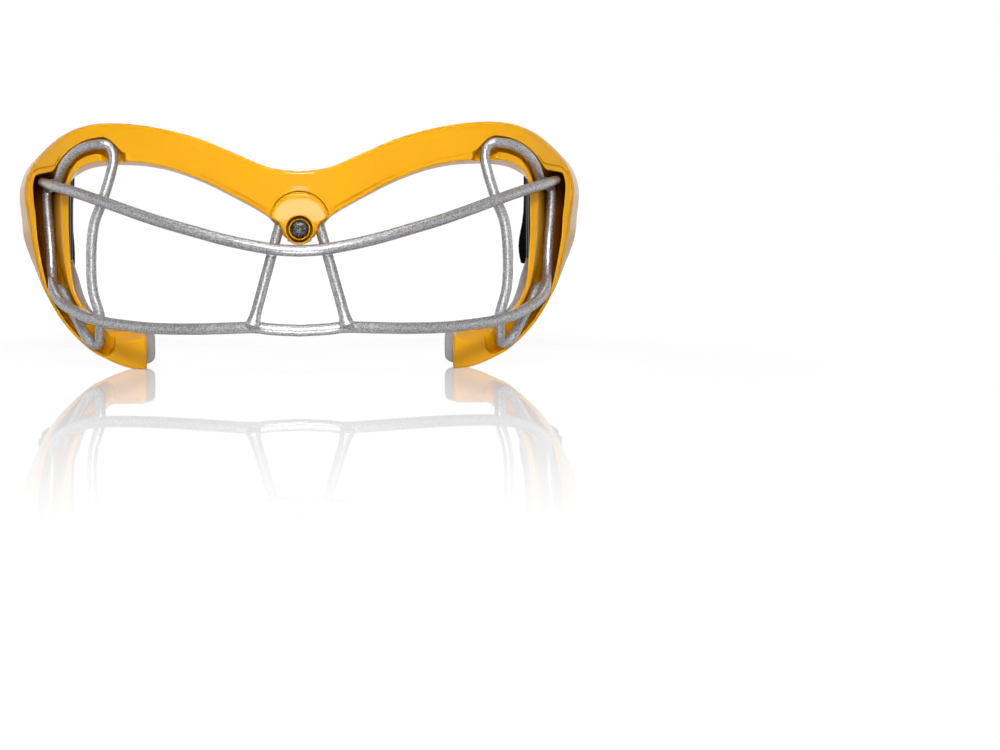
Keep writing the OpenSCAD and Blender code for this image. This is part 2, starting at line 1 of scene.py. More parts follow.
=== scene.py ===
# %% [markdown]
# # Lacrosse goggles
# The object is a moulded eye guard: one glossy yellow frame, a welded wire cage held by a
# single screw at the nose, grey pads at the back, and an elastic strap on two swinging clips.
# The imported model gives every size. This script loads it as a fixed frame, and makes the
# rounded, finished surface of each piece in the same place.

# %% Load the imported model
import math

import bpy
import numpy as np
from mathutils import Matrix, Vector


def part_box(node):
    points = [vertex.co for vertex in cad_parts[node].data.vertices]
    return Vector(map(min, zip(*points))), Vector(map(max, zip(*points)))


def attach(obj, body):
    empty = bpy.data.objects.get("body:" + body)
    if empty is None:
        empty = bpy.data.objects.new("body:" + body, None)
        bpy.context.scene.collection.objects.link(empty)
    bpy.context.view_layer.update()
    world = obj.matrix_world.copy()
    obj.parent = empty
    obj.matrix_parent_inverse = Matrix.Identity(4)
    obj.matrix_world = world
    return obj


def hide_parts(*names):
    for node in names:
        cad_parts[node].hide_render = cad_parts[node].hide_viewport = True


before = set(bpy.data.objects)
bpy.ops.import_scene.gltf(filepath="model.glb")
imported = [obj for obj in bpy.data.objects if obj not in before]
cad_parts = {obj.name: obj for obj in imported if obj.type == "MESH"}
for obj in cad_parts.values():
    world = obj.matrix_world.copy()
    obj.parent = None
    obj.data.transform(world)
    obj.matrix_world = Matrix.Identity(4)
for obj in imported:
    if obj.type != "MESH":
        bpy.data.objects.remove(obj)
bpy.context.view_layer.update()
ROOT = "frame_and_cage"
LEFT, RIGHT = -1, 1
SIDES = ((LEFT, "left"), (RIGHT, "right"))
print("pieces of the packed model:", len(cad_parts))

# %% [markdown]
# Sizes are easier to read in millimetres, with the depth counted from the nose. The origin
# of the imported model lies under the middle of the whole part, so one number carries a depth
# over. It is measured here on the threaded insert, whose front end lies at the depth of the
# clamp's seat, so that the script follows the model.

# %% From millimetres to the model's own metres
NOSE_SEAT = 6.2
insert_low, insert_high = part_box("threaded_insert")
DEPTH_ORIGIN = NOSE_SEAT - insert_low.y * 1000
BOSS_Z = (insert_low.z + insert_high.z) * 500


def to_model(points):
    """Points in mm, with depth from the nose, become points of the model in metres."""
    return (np.asarray(points, float) - [0, DEPTH_ORIGIN, 0]) / 1000


def mirrored(points, side):
    """The right half's points, or their mirror image on the left."""
    return np.asarray(points, float) * [side, 1, 1]


def both_halves(half):
    """Points or rings from the middle to the right become a row from left to right."""
    return [mirrored(part, LEFT) for part in reversed(half[1:])] + list(half)


def sided(rings, side):
    """Rings of the right half or, mirrored and turned round, of the left."""
    rings = [mirrored(r, side) for r in rings]
    return [r[::-1] for r in rings] if side == LEFT else rings


def added(name, data):
    """A new object in the scene, with this mesh, camera or lamp."""
    obj = bpy.data.objects.new(name, data)
    bpy.context.scene.collection.objects.link(obj)
    return obj


print("depth of the origin behind the nose: %.3f mm, screw height %.2f mm"
      % (DEPTH_ORIGIN, BOSS_Z))

# %% [markdown]
# The camera comes first, because every look is judged through it. It looks level at the
# nose from about 380 mm. The goggles lie left of the picture's middle by a shift of the lens,
# because a turned camera would make the upright lines lean.

# %% Camera
PICTURE_WIDTH = 1000
PICTURE_HEIGHT = 750
AXIS_PIXEL = (299.5, 244.5)
MM_PER_PIXEL = 0.276
CAMERA_DISTANCE = 380
CAMERA_HEIGHT = 36
CAMERA_ROLL = 0.25
SENSOR = 36
camera = added("camera", bpy.data.cameras.new("camera"))
camera.location = to_model([0, -CAMERA_DISTANCE, CAMERA_HEIGHT])
camera.rotation_euler = (math.radians(90), math.radians(CAMERA_ROLL), 0)
camera.data.sensor_width = SENSOR
camera.data.lens = SENSOR * (CAMERA_DISTANCE / MM_PER_PIXEL) / PICTURE_WIDTH
camera.data.shift_x = (PICTURE_WIDTH / 2 - AXIS_PIXEL[0]) / PICTURE_WIDTH
camera.data.shift_y = (AXIS_PIXEL[1] - PICTURE_HEIGHT / 2) / PICTURE_WIDTH
camera.data.clip_start = 0.01
bpy.context.scene.camera = camera
bpy.context.scene.view_settings.view_transform = "Standard"
print("lens %.1f mm" % camera.data.lens)

# %% [markdown]
# A mesh is a list of corners and a list of faces. Most pieces here are skins: rings of
# corners, one after another, with a face between each pair of neighbours. A skin is shaded
# smooth, and flat areas win over narrow rounded edges when the normals are averaged, so that
# broad faces stay flat and edges catch a thin line of light.


# %% Skins through rings of corners
def from_faces(name, verts, faces, material):
    mesh = bpy.data.meshes.new(name)
    mesh.from_pydata([tuple(v) for v in verts], [], faces)
    mesh.update()
    mesh.materials.append(material)
    return added(name, mesh)


def apply_modifiers(obj):
    bpy.context.view_layer.update()
    graph = bpy.context.evaluated_depsgraph_get()
    mesh = bpy.data.meshes.new_from_object(obj.evaluated_get(graph))
    obj.modifiers.clear()
    obj.data = mesh


def keep_flats(obj):
    modifier = obj.modifiers.new("flats", "WEIGHTED_NORMAL")
    modifier.keep_sharp = True
    modifier.weight = 80


def skin_faces(rings, count, closed=False):
    """Faces between rings of count corners each, with capped ends unless closed."""
    faces = []
    for i in range(rings if closed else rings - 1):
        for j in range(count):
            a, b = i * count + j, i * count + (j + 1) % count
            c, d = ((i + 1) % rings) * count + j, ((i + 1) % rings) * count + (j + 1) % count
            faces.append((a, c, d, b))
    if not closed:
        faces.append(tuple(range(count)))
        faces.append(tuple((rings - 1) * count + j for j in reversed(range(count))))
    return faces


def skin(name, rings, material, closed=False, weighted=True):
    rings = [np.asarray(r, float) for r in rings]
    faces = skin_faces(len(rings), len(rings[0]), closed)
    obj = from_faces(name, to_model(np.concatenate(rings)), faces, material)
    obj.data.shade_smooth()
    if weighted:
        keep_flats(obj)
    return obj


def paint_shade(obj, values):
    """Says for each vertex how much painted shade its colour takes, from 0 to 1."""
    deep = obj.data.attributes.new("PaintedShade", "FLOAT", "POINT")
    deep.data.foreach_set("value", np.clip(np.asarray(values, np.float32), 0, 1))


def unit(v):
    v = np.asarray(v, float)
    return v / np.linalg.norm(v)


# %% [markdown]
# Moulded plastic has no sharp corner, because the tool that cuts the mould is round. This
# helper takes a polygon and a radius for each corner and puts a short curve there. A curve
# takes at most a share of the edges beside its corner, and the first corner, a section's
# outer front edge, may take the most. Each corner always gets the same number of points, so
# sections of one piece can be skinned even where a corner fades out.

# %% Polygons with rounded corners
CORNER_STEPS = 5
CORNER_POINTS = CORNER_STEPS + 1
FIRST_SHARE = 0.85
OTHER_SHARE = 0.48


def rounded(polygon, radii):
    polygon = [np.asarray(p, float) for p in polygon]
    n = len(polygon)
    out = []
    for i, p in enumerate(polygon):
        back, ahead = polygon[i - 1] - p, polygon[(i + 1) % n] - p
        lb, la = np.linalg.norm(back), np.linalg.norm(ahead)
        share = FIRST_SHARE if i == 0 else OTHER_SHARE
        r = max(min(radii[i], share * lb, share * la), 1e-4)
        start, end = p + back / max(lb, 1e-9) * r, p + ahead / max(la, 1e-9) * r
        for k in range(CORNER_POINTS):
            t = k / CORNER_STEPS
            out.append((1 - t) ** 2 * start + 2 * t * (1 - t) * p + t * t * end)
    return np.array(out)


# %% [markdown]
# ## Materials
# Each effect is a node group that is built once, for every finish that needs it: a fine
# noise for moulded or cast surfaces, a sparkle for metallic paint and a weave for elastic. A
# group only gives out values. The shader stays in the material, where its own numbers, such
# as roughness, can be changed.


# %% Helpers for node trees
def new_group(name, inputs, outputs):
    group = bpy.data.node_groups.new(name, "ShaderNodeTree")
    for label, value in inputs:
        socket = group.interface.new_socket(label, in_out="INPUT", socket_type="NodeSocketFloat")
        socket.default_value = value
    for label in outputs:
        group.interface.new_socket(label, in_out="OUTPUT", socket_type="NodeSocketFloat")
    return group, group.nodes.new("NodeGroupInput"), group.nodes.new("NodeGroupOutput")


def node(tree, kind, **values):
    made = tree.nodes.new("ShaderNode" + kind)
    for key, value in values.items():
        if hasattr(made, key):
            setattr(made, key, value)
        else:
            made.inputs[key.replace("_", " ")].default_value = value
    return made


def math_node(tree, operation, a, b):
    made = tree.nodes.new("ShaderNodeMath")
    made.operation = operation
    for socket, value in zip(made.inputs, (a, b)):
        if isinstance(value, (int, float)):
            socket.default_value = value
        else:
            tree.links.new(value, socket)
    return made.outputs[0]


def coordinates(tree, kind):
    """A place, in the object's own or in the world's directions, as its three parts."""
    parts = node(tree, "SeparateXYZ")
    tree.links.new(node(tree, "TexCoord").outputs[kind], parts.inputs[0])
    return parts.outputs


# %% Moulded grain: slow unevenness with a fine grain on it
SLOW_SCALE = 0.12
grain_group, g_in, g_out = new_group(
    "moulded grain", [("Size mm", 1.0), ("Fine share", 0.3)], ["Height", "Patch"])
link = grain_group.links.new
place = node(grain_group, "TexCoord")
size = math_node(grain_group, "DIVIDE", 1000.0, g_in.outputs["Size mm"])
slow = node(grain_group, "TexNoise", Detail=2.0, Roughness=0.5)
fine = node(grain_group, "TexNoise", Detail=4.0, Roughness=0.6)
link(place.outputs["Object"], slow.inputs["Vector"])
link(place.outputs["Object"], fine.inputs["Vector"])
slow_size = math_node(grain_group, "MULTIPLY", size, SLOW_SCALE)
link(slow_size, slow.inputs["Scale"])
link(size, fine.inputs["Scale"])
fine_part = math_node(grain_group, "MULTIPLY", fine.outputs["Fac"], g_in.outputs["Fine share"])
together = math_node(grain_group, "ADD", slow.outputs["Fac"], fine_part)
link(together, g_out.inputs["Height"])
link(slow.outputs["Fac"], g_out.inputs["Patch"])

# %% Metallic flakes: small cells that are each a little lighter or darker
flake_group, f_in, f_out = new_group("metallic flakes", [("Flake mm", 0.15)], ["Flake", "Height"])
link = flake_group.links.new
place = node(flake_group, "TexCoord")
cells = node(flake_group, "TexVoronoi", feature="F1")
link(place.outputs["Object"], cells.inputs["Vector"])
per_metre = math_node(flake_group, "DIVIDE", 1000.0, f_in.outputs["Flake mm"])
link(per_metre, cells.inputs["Scale"])
split = node(flake_group, "SeparateColor")
link(cells.outputs["Color"], split.inputs[0])
link(split.outputs[0], f_out.inputs["Flake"])
link(split.outputs[1], f_out.inputs["Height"])

# %% Elastic weave: ribs across the band, crossed by the yarn's short steps
TURN = 6283.2
RIB_SHARE = 0.6
SHADE_SHARE = 0.3
weave_group, w_in, w_out = new_group(
    "elastic weave", [("Rib mm", 1.1), ("Yarn mm", 0.5)], ["Height", "Shade"])
link = weave_group.links.new
axes = coordinates(weave_group, "Object")


def wave(tree, coordinate, period):
    """A wave along a coordinate in metres, its period in mm; TURN is two pi, times 1000."""
    turns = math_node(tree, "MULTIPLY", coordinate, math_node(tree, "DIVIDE", TURN, period))
    return math_node(tree, "SINE", turns, 0)


along = math_node(weave_group, "ADD", axes["Y"], axes["X"])
ribs = wave(weave_group, axes["Z"], w_in.outputs["Rib mm"])
yarn = wave(weave_group, along, w_in.outputs["Yarn mm"])
crossed = math_node(weave_group, "MULTIPLY", ribs, yarn)
rib_part = math_node(weave_group, "MULTIPLY", ribs, RIB_SHARE)
height = math_node(weave_group, "ADD", rib_part, crossed)
link(height, w_out.inputs["Height"])
# The band's colour follows this height, so the hollows of the weave are painted darker and the
# ribs' tops lighter: painted shade.
shade = math_node(weave_group, "MULTIPLY_ADD", height, SHADE_SHARE)
link(shade, w_out.inputs["Shade"])


# %% [markdown]
# A finish is a Principled shader with plain numbers, plus an effect group that feeds the
# base colour through a ramp and the normal through a bump. Two base colours close to each
# other give the slight unevenness that a real surface has; on the elastic they give painted
# shade, darker in the hollows of the weave and lighter on the ribs.

# %% One finish from numbers
RAMP_ENDS = (0.25, 0.75)


def finish(name, dark, light, effect, effect_values, mask, bump_mm, **numbers):
    material = bpy.data.materials.new(name)
    material.use_nodes = True
    tree = material.node_tree
    link = tree.links.new
    shader = tree.nodes["Principled BSDF"]
    for key, value in numbers.items():
        shader.inputs[key.replace("_", " ")].default_value = value
    group = tree.nodes.new("ShaderNodeGroup")
    group.node_tree = effect
    for key, value in effect_values.items():
        group.inputs[key].default_value = value
    ramp = node(tree, "ValToRGB")
    ends = zip(ramp.color_ramp.elements, RAMP_ENDS, (dark, light))
    for element, position, colour in ends:
        element.position, element.color = position, (*colour, 1)
    link(group.outputs[mask], ramp.inputs["Fac"])
    link(ramp.outputs["Color"], shader.inputs["Base Color"])
    bump = node(tree, "Bump", Strength=1.0, Distance=bump_mm / 1000)
    link(group.outputs["Height"], bump.inputs["Height"])
    link(bump.outputs["Normal"], shader.inputs["Normal"])
    return material


# %% Yellow plastic of the frame and the clamp
plastic = finish(
    "yellow gloss plastic", (0.92, 0.42, 0.0), (0.95, 0.445, 0.0),
    grain_group, {"Size mm": 1.4, "Fine share": 0.1}, "Patch", 0.004,
    Roughness=0.5, Specular_IOR_Level=0.05, Coat_Weight=0.5, Coat_Roughness=0.06,
)

# In a narrow channel the light bounces from yellow wall to yellow wall and comes out a deep
# brown orange. The lamps alone leave the channel lighter than that, so the shade is painted
# in, in the channel and in the groove round the clamp's boss: the skins carry a value per
# vertex, the attribute of painted shade read below, that says where. A Mix node has sockets
# for numbers, vectors and colours, and the places below are those of the colours.
PAINTED_SHADE_ORANGE = (0.12, 0.022, 0.0, 1)
MIX_SHARE, MIX_FIRST, MIX_SECOND, MIX_RESULT = 0, 6, 7, 2
tree = plastic.node_tree
link = tree.links.new
shader = tree.nodes["Principled BSDF"]
marked = node(tree, "Attribute", attribute_name="PaintedShade")
shade_mix = node(tree, "Mix", data_type="RGBA")
shade_mix.inputs[MIX_SECOND].default_value = PAINTED_SHADE_ORANGE
link(marked.outputs["Fac"], shade_mix.inputs[MIX_SHARE])
link(shader.inputs["Base Color"].links[0].from_socket, shade_mix.inputs[MIX_FIRST])
link(shade_mix.outputs[MIX_RESULT], shader.inputs["Base Color"])

# %% Silver paint on the cage
silver = finish(
    "silver flake paint", (0.3, 0.3, 0.31), (0.6, 0.6, 0.62),
    flake_group, {"Flake mm": 0.26}, "Flake", 0.006,
    Roughness=0.33, Metallic=0.7, Coat_Weight=0.5, Coat_Roughness=0.14,
)

# %% Dark grained screw, brass insert and steel pin
screw_metal = finish(
    "dark screw steel", (0.02, 0.02, 0.022), (0.16, 0.16, 0.17),
    flake_group, {"Flake mm": 0.3}, "Flake", 0.05,
    Roughness=0.42, Metallic=0.8,
)
brass = finish(
    "insert brass", (0.45, 0.3, 0.11), (0.6, 0.42, 0.17),
    grain_group, {"Size mm": 0.4, "Fine share": 0.5}, "Patch", 0.01,
    Roughness=0.35, Metallic=1.0,
)
pin_steel = finish(
    "pin steel", (0.4, 0.4, 0.41), (0.55, 0.55, 0.56),
    grain_group, {"Size mm": 0.3, "Fine share": 0.6}, "Patch", 0.01,
    Roughness=0.3, Metallic=1.0,
)

# %% Grey silicone of the pads
silicone = finish(
    "grey silicone", (0.33, 0.33, 0.345), (0.4, 0.4, 0.41),
    grain_group, {"Size mm": 0.8, "Fine share": 0.5}, "Patch", 0.02,
    Roughness=0.5, Subsurface_Weight=0.08, Subsurface_Scale=0.002,
    Coat_Weight=0.15, Coat_Roughness=0.4,
)

# %% Black nylon of the clips, and black elastic
nylon = finish(
    "black nylon", (0.011, 0.011, 0.012), (0.02, 0.02, 0.021),
    grain_group, {"Size mm": 0.35, "Fine share": 0.9}, "Patch", 0.02,
    Roughness=0.45,
)
elastic = finish(
    "black elastic", (0.003, 0.003, 0.0033), (0.01, 0.01, 0.0105),
    weave_group, {"Rib mm": 1.3, "Yarn mm": 0.7}, "Shade", 0.1,
    Roughness=0.95, Specular_IOR_Level=0.02,
)
print("finishes:", len(bpy.data.materials))

# %% [markdown]
# ## The frame
# The frame is one moulding with a mirror plane. It is drawn as two rows of points, the
# outer and the inner edge of its front face, from the middle of the brow to the cheek end,
# and two rows of steps from there to its rear edges. A smooth curve runs through each row.
# Between them the front face is pressed in where the cage's wires lie: a pocket in the
# brow, a deep channel in the side arm and a pocket at the cheek. Those are tables of
# shares across the face, and an average over a short stretch rounds off their turns.

# %% Points of the right half, in mm
outer_edge = [
    [0, 2.5, 56.5], [5, 2.9, 57], [10, 4, 58.3], [19.7, 7.4, 62.7], [28, 10.8, 66.3],
    [36.4, 14.2, 68.9], [45.1, 17.6, 70.9], [52.4, 20.6, 71.9], [58.6, 23.4, 72.1],
    [65, 26.8, 71.2], [70.9, 30, 68.8], [76.2, 33, 64.9], [80.2, 35, 60.6], [82.5, 36, 55.9],
    [83.1, 36.5, 51.1], [82.2, 36, 45.1], [80.7, 34.5, 37.5], [78, 31.5, 27.9],
    [75.2, 29, 21.4], [70.9, 26.5, 14.7], [66.4, 24.5, 9.6], [61.1, 22.6, 5.2],
    [57.5, 21.6, 3.3], [53.9, 20.8, 1.7], [50, 20, 0.4], [44.7, 18.9, -0.5]]
inner_edge = [
    [0, 0.5, 37.1], [4.8, 0.7, 38.8], [8.7, 1.8, 44], [19.6, 5.8, 50.4], [27.1, 9, 54.2],
    [35.3, 12.2, 57.4], [43.1, 15.2, 59.4], [49.7, 17.6, 60.2], [55.1, 19.6, 60.5],
    [60.1, 21.5, 60.3], [63.5, 23, 59.1], [66, 24.6, 57.2], [67.5, 26, 54.4], [68.1, 27, 51.7],
    [68.3, 27.5, 48.7], [68.3, 27.8, 44], [68.2, 27.8, 38.1], [67.6, 26.8, 31],
    [66.7, 25.6, 24.8], [64.7, 24.2, 19.9], [61.8, 23, 15.9], [58, 21.5, 12.4],
    [55.6, 20.6, 8.4], [52.9, 20, 7.2], [49.3, 19.4, 8], [44.7, 18.7, 9.3]]
outer_depth = [
    [0, 8, -1], [0.4, 7.8, -1], [0.8, 7.5, -1], [1.2, 8, -1], [1.6, 9, -1],
    [2, 10.5, -1], [2.4, 13, -1], [3, 16, -1], [3.6, 18.5, -1],
    [4.4, 20.5, -1], [5, 21, -0.6], [5.5, 21, -0.5], [5.8, 21.5, 0], [5.9, 22, 0],
    [5.9, 21.5, 0], [6, 21, 0], [6, 19.5, 0], [3.5, 14.5, 0],
    [2.4, 11.5, 0], [2, 10, 0.5], [1.2, 9.5, 0.8], [0.8, 9.5, 0.8],
    [0.5, 9.5, 0.6], [0.3, 9.5, 0.4], [0, 9.5, 0.2], [1.8, 9.5, 0]]
inner_depth = [
    [0, 10.1, 0], [0, 9.9, 0], [0.6, 8.8, 0], [1, 8.8, 0], [1.2, 9.6, 0],
    [1.5, 12, 0], [2, 16, 0], [2.6, 20, 0], [3.2, 24, 0],
    [4, 26.5, -0.3], [4.6, 28, -0.4], [5.2, 28.5, -0.4], [5.6, 28.5, 0], [5.6, 28, 0],
    [5.6, 27.5, 0], [5.6, 26, 0], [5.4, 24, 0], [4.4, 17, 0],
    [3, 13, 0], [1.6, 10.5, 0], [1, 10, 0.3], [0.6, 9.6, 0.8],
    [0.3, 9.4, 3], [0.1, 9.2, 4.2], [0, 9, 3.2], [1.8, 9, 1.9]]
recess_start = [
    [0, 0.86], [1.85, 0.93], [4, 0.91], [6, 0.89], [7.12, 0.8], [7.3, 0.7], [7.6, 0.5], [8, 0.4],
    [9, 0.42], [10, 0.46], [11, 0.51], [11.5, 0.53], [11.8, 0.53], [12, 0.44], [12.5, 0.2],
    [13, 0.2], [14, 0.23], [15, 0.23], [16, 0.19], [17, 0.17], [18, 0.13], [19, 0.14],
    [20, 0.08], [21, 0.08], [21.8, 0.09], [22.1, 0.14], [22.3, 0.22], [22.45, 0.32],
    [22.58, 0.46], [22.7, 0.66], [25, 0.66]]
pocket_share = [
    [0, 0], [7.02, 0], [7.12, 1], [11.5, 1], [12, 0], [17, 0], [18.6, 1.1], [20, 1],
    [22.58, 1], [22.74, 0], [25, 0]]
channel_share = [
    [0, 0], [11.5, 0], [12, 1], [16.2, 1], [17.4, 0.62], [18.6, 0], [25, 0]]
# Where along the frame the channel's painted shade comes in and fades out.
painted_shade_share = [[11.4, 0], [12.2, 1], [17.6, 1], [19, 0]]
rim_share = [
    [0, 0], [7.02, 0], [7.12, 1], [8, 1], [8.4, 0.3], [10, 0.3], [12, 0], [19.6, 0],
    [20.6, 1], [22.58, 1], [22.74, 0], [25, 0]]
rim_width = [
    [0, 0.06], [8, 0.07], [8.4, 0.21], [10, 0.2], [11, 0.12], [12, 0.1], [13.4, 0.18],
    [17, 0.18], [18, 0.16], [19, 0.16], [20.6, 0.1], [25, 0.1]]
lean = [
    [0, 0.05], [11, 0.03], [12.4, 0.03], [13.6, 0.13], [16, 0.13], [18, 0.05], [25, 0.05]]
step_start = [
    [0, 0.8], [10.8, 0.42], [11.2, 0.48], [11.5, 0.42], [11.8, 0.29], [12.1, 0.14],
    [12.5, 0.07], [25, 0.07]]
lip_share = [[0, 1], [6.6, 1], [7, 0], [25, 0]]
step_share = [[0, 0], [10.7, 0], [11, 1], [12.6, 1], [15, 0], [25, 0]]
edge_round = [
    [0, 1], [5, 1.6], [8, 4], [10, 5.5], [12, 4], [13.5, 2.2], [16, 1.3], [19, 0.6],
    [22, 0.5], [25, 1]]
POCKET_DEPTH = 4.5
CHANNEL_DEPTH = 12
STEP_DEPTH = 0.9
LIP = 0.22
SEAT_END = 1.85
MIN_RIM = 0.8
MARGIN = 0.03
ARCH_R = 8.4
ARCH_Z = 42.2
LAST = len(outer_edge) - 1.0


# %% Curves through the points, and tables
def smooth(points, t, closed=False):
    """A smooth curve through the points, which meets point i at t = i."""
    p = np.asarray(points, float)
    n = len(p)
    i = int(t) if closed else min(int(t), n - 2)
    a, b, f = p[i], p[(i + 1) % n], t - i
    before = p[i - 1] if closed or i > 0 else 2 * a - b
    after = p[(i + 2) % n] if closed or i + 2 < n else 2 * b - a
    return 0.5 * (2 * a + (b - before) * f + (2 * before - 5 * a + 4 * b - after) * f * f
                  + (3 * a - before - 3 * b + after) * f ** 3)


def ramp(table, t):
    table = np.asarray(table, float)
    return float(np.interp(t, table[:, 0], table[:, 1]))


def eased(table, t, reach=0.12):
    """The table's mean over a reach to each side, which rounds off its turns."""
    places = (-1, -0.6, -0.3, 0, 0.3, 0.6, 1)
    return float(np.mean([ramp(table, t + reach * k) for k in places]))


def corners(t):
    a, b = smooth(outer_edge, t), smooth(inner_edge, t)
    return a, b, b + smooth(inner_depth, t), a + smooth(outer_depth, t)


# %% [markdown]
# At the nose the front face has a seat for the clamp, under an arch. The arch is a circle,
# so the share at which it crosses a section is found by stepping towards it a few times.


# %% One section of the frame
def arch_share(a, b):
    f = 0.6
    for _ in range(8):
        x = a[0] + f * (b[0] - a[0])
        z = ARCH_Z + math.sqrt(max(0.0, ARCH_R ** 2 - x * x))
        f = (a[2] - z) / (a[2] - b[2])
    return f


def frame_section(t):
    a, b, c, d = corners(t)
    across, back_a, back_b = unit(b - a), unit(d - a), unit(c - b)
    width = np.linalg.norm(b - a)
    seated = t < SEAT_END
    edge = eased(edge_round, t)
    rim = 1 - max(eased(rim_width, t), MIN_RIM / width + MARGIN)
    start = min(arch_share(a, b), rim - 0.06) if seated else eased(recess_start, t, 0.1)
    start = max(start, min(edge, 2.0) / width + MARGIN)
    pocket = POCKET_DEPTH * eased(pocket_share, t, 0.05)
    depth = pocket + CHANNEL_DEPTH * eased(channel_share, t, 0.4)
    lip = LIP * eased(lip_share, t)
    rim_depth = depth * eased(rim_share, t, 0.05) - lip
    depth -= lip

    def pressed(f, deep):
        """The point at a share of the face, pressed in by a depth, or as far as the seat."""
        q = a + across * width * f
        way = unit(back_a * (1 - f) + back_b * f)
        return q + way * (max(0.0, (NOSE_SEAT - q[1]) / way[1]) if seated else deep)

    step = STEP_DEPTH * ramp(step_share, t)
    step_at = min(eased(step_start, t), start - 0.08)
    step_at = max(step_at, min(edge, 0.4) / width + 0.01)
    ledge = max(start - 0.02, step_at + 0.05)
    polygon = [
        a, a + across * width * step_at, pressed(step_at + 0.03, step), pressed(ledge, step),
        pressed(start, depth), pressed(rim - eased(lean, t), depth), pressed(rim, rim_depth),
        pressed(1.0, rim_depth), c, d]
    if seated:
        for k, back in ((1, 1.5), (2, 0.95), (3, 0.2)):
            forward = [0, -LIP, 0] if k > 1 else 0
            polygon[k] = a + across * (width * start - back) + forward
    soft = min(0.9, max(0.3, 0.3 + 0.3 * depth))
    ring = rounded(polygon, [edge, 0.3, 0.3, 0.35, soft, soft, 0.5, 0.5, 1.0, 1.0])
    ring[:, 2] = np.maximum(ring[:, 2], 0)
    return ring


def painted_channel_shade(t):
    """The painted shade of a section's points: the channel's floor is 1 and its inner wall fades.
    """
    front, floor = [0.0] * (4 * CORNER_POINTS), [1.0] * CORNER_POINTS
    wall = list(np.linspace(0.85, 0.5, CORNER_POINTS))
    rim_and_back = [0.0] * (4 * CORNER_POINTS)
    return np.array(front + floor + wall + rim_and_back) * eased(painted_shade_share, t, 0.2)


# %% Skin of the whole frame
stations = np.unique(np.round(np.concatenate([
    np.arange(0, 1.8, 0.05), [1.8, 1.84, 1.86, 1.9], np.arange(2, 6.9, 0.1),
    np.arange(6.9, 7.3, 0.02), np.arange(7.3, 22.2, 0.08), np.arange(22.2, 22.9, 0.03),
    np.arange(22.9, 25.01, 0.1), [LAST]]), 4))
half = [frame_section(t) for t in stations]
# Painted shade for the points of each section, darkest on the channel's floor.
deep = [painted_channel_shade(t) for t in stations]
CHEEK_ROUND = 0.8
last_ring = half[-1]
middle = last_ring.mean(0)
spokes = (last_ring - middle) / np.linalg.norm(last_ring - middle, axis=1)[:, None]
for k in (0.25, 0.5, 0.75, 1):
    turned_by = k * math.pi / 2
    inward = spokes * CHEEK_ROUND * (1 - math.cos(turned_by))
    along_x = CHEEK_ROUND * math.sin(turned_by) - CHEEK_ROUND / 2
    ring = last_ring - inward - [along_x, 0, 0]
    half.append(ring)
    deep.append(np.zeros(len(ring)))
rings = both_halves(half)
shell = skin("frame_shell", rings, plastic, weighted=False)
paint_shade(shell, np.concatenate(deep[:0:-1] + deep))
print("frame shell: %d sections, %d faces" % (len(rings), len(shell.data.polygons)))


# %% [markdown]
# The slots for the strap clips and the bore for the screw's insert are cut afterwards, with
# a boolean: cutting is what the real mould's cores do, and it keeps the skin simple.


# %% Cut the slots and the bore
def block(name, low, high):
    (x0, y0, z0), (x1, y1, z1) = to_model(low), to_model(high)
    verts = [(x, y, z) for x in (x0, x1) for y in (y0, y1) for z in (z0, z1)]
    faces = [(0, 1, 3, 2), (4, 6, 7, 5), (0, 4, 5, 1), (2, 3, 7, 6), (0, 2, 6, 4), (1, 5, 7, 3)]
    return from_faces(name, verts, faces, plastic)


def circle(radius, y, count=48):
    """A ring of points round the screw's axis, at a depth."""
    a = np.arange(count) * 2 * math.pi / count
    x, z = radius * np.sin(a), BOSS_Z + radius * np.cos(a)
    return np.stack([x, np.full(count, float(y)), z], 1)


def cut(target, cutters):
    for cutter in cutters:
        modifier = target.modifiers.new("cut", "BOOLEAN")
        modifier.object = cutter
        modifier.solver = "FAST"
    apply_modifiers(target)
    for cutter in cutters:
        bpy.data.objects.remove(cutter)


PIVOT = np.array([80.5, 52.2, 47.0])
BORE_R = 2.1
SLOT_HALF = [3.3, 3.8, 9.5]
SLOT_BACK = 26
cutters = [skin("bore", [circle(BORE_R, -5), circle(BORE_R, 20)], plastic, weighted=False)]
for side in (LEFT, RIGHT):
    low, high = PIVOT - SLOT_HALF, PIVOT + [SLOT_HALF[0], SLOT_BACK, SLOT_HALF[2]]
    ends = sorted([low[0] * side, high[0] * side])
    cutters.append(block("slot", [ends[0], low[1], low[2]], [ends[1], high[1], high[2]]))
cut(shell, cutters)
keep_flats(shell)
print("after cutting: %d faces, channel marked: %s"
      % (len(shell.data.polygons), "PaintedShade" in shell.data.attributes))
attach(shell, ROOT)
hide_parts("frame")

# %% [markdown]
# ## The cage
# The cage is steel wire under silver paint: an upper and a lower rail, a closed loop on
# each side, and two short struts at the nose, all welded. A tube along a smooth path is the
# right form, and made of rings it can have rounded and tapered ends. The direction of each
# ring is carried along the path, so the tube never twists.


# %% Tubes along a path
def tube_rings(path, radii, sides=20, closed=False):
    path = np.asarray(path, float)
    n = len(path)
    if closed:
        ways = [unit(path[(i + 1) % n] - path[i - 1]) for i in range(n)]
    else:
        ways = [unit(path[min(i + 1, n - 1)] - path[max(i - 1, 0)]) for i in range(n)]
    side = unit(np.cross(ways[0], [0.13, 0.2, 0.97]))
    a = np.arange(sides) * 2 * math.pi / sides
    out = []
    for p, way, r in zip(path, ways, radii):
        side = unit(side - way * np.dot(side, way))
        up = np.cross(way, side)
        out.append(p + r * (np.cos(a)[:, None] * side + np.sin(a)[:, None] * up))
    return out


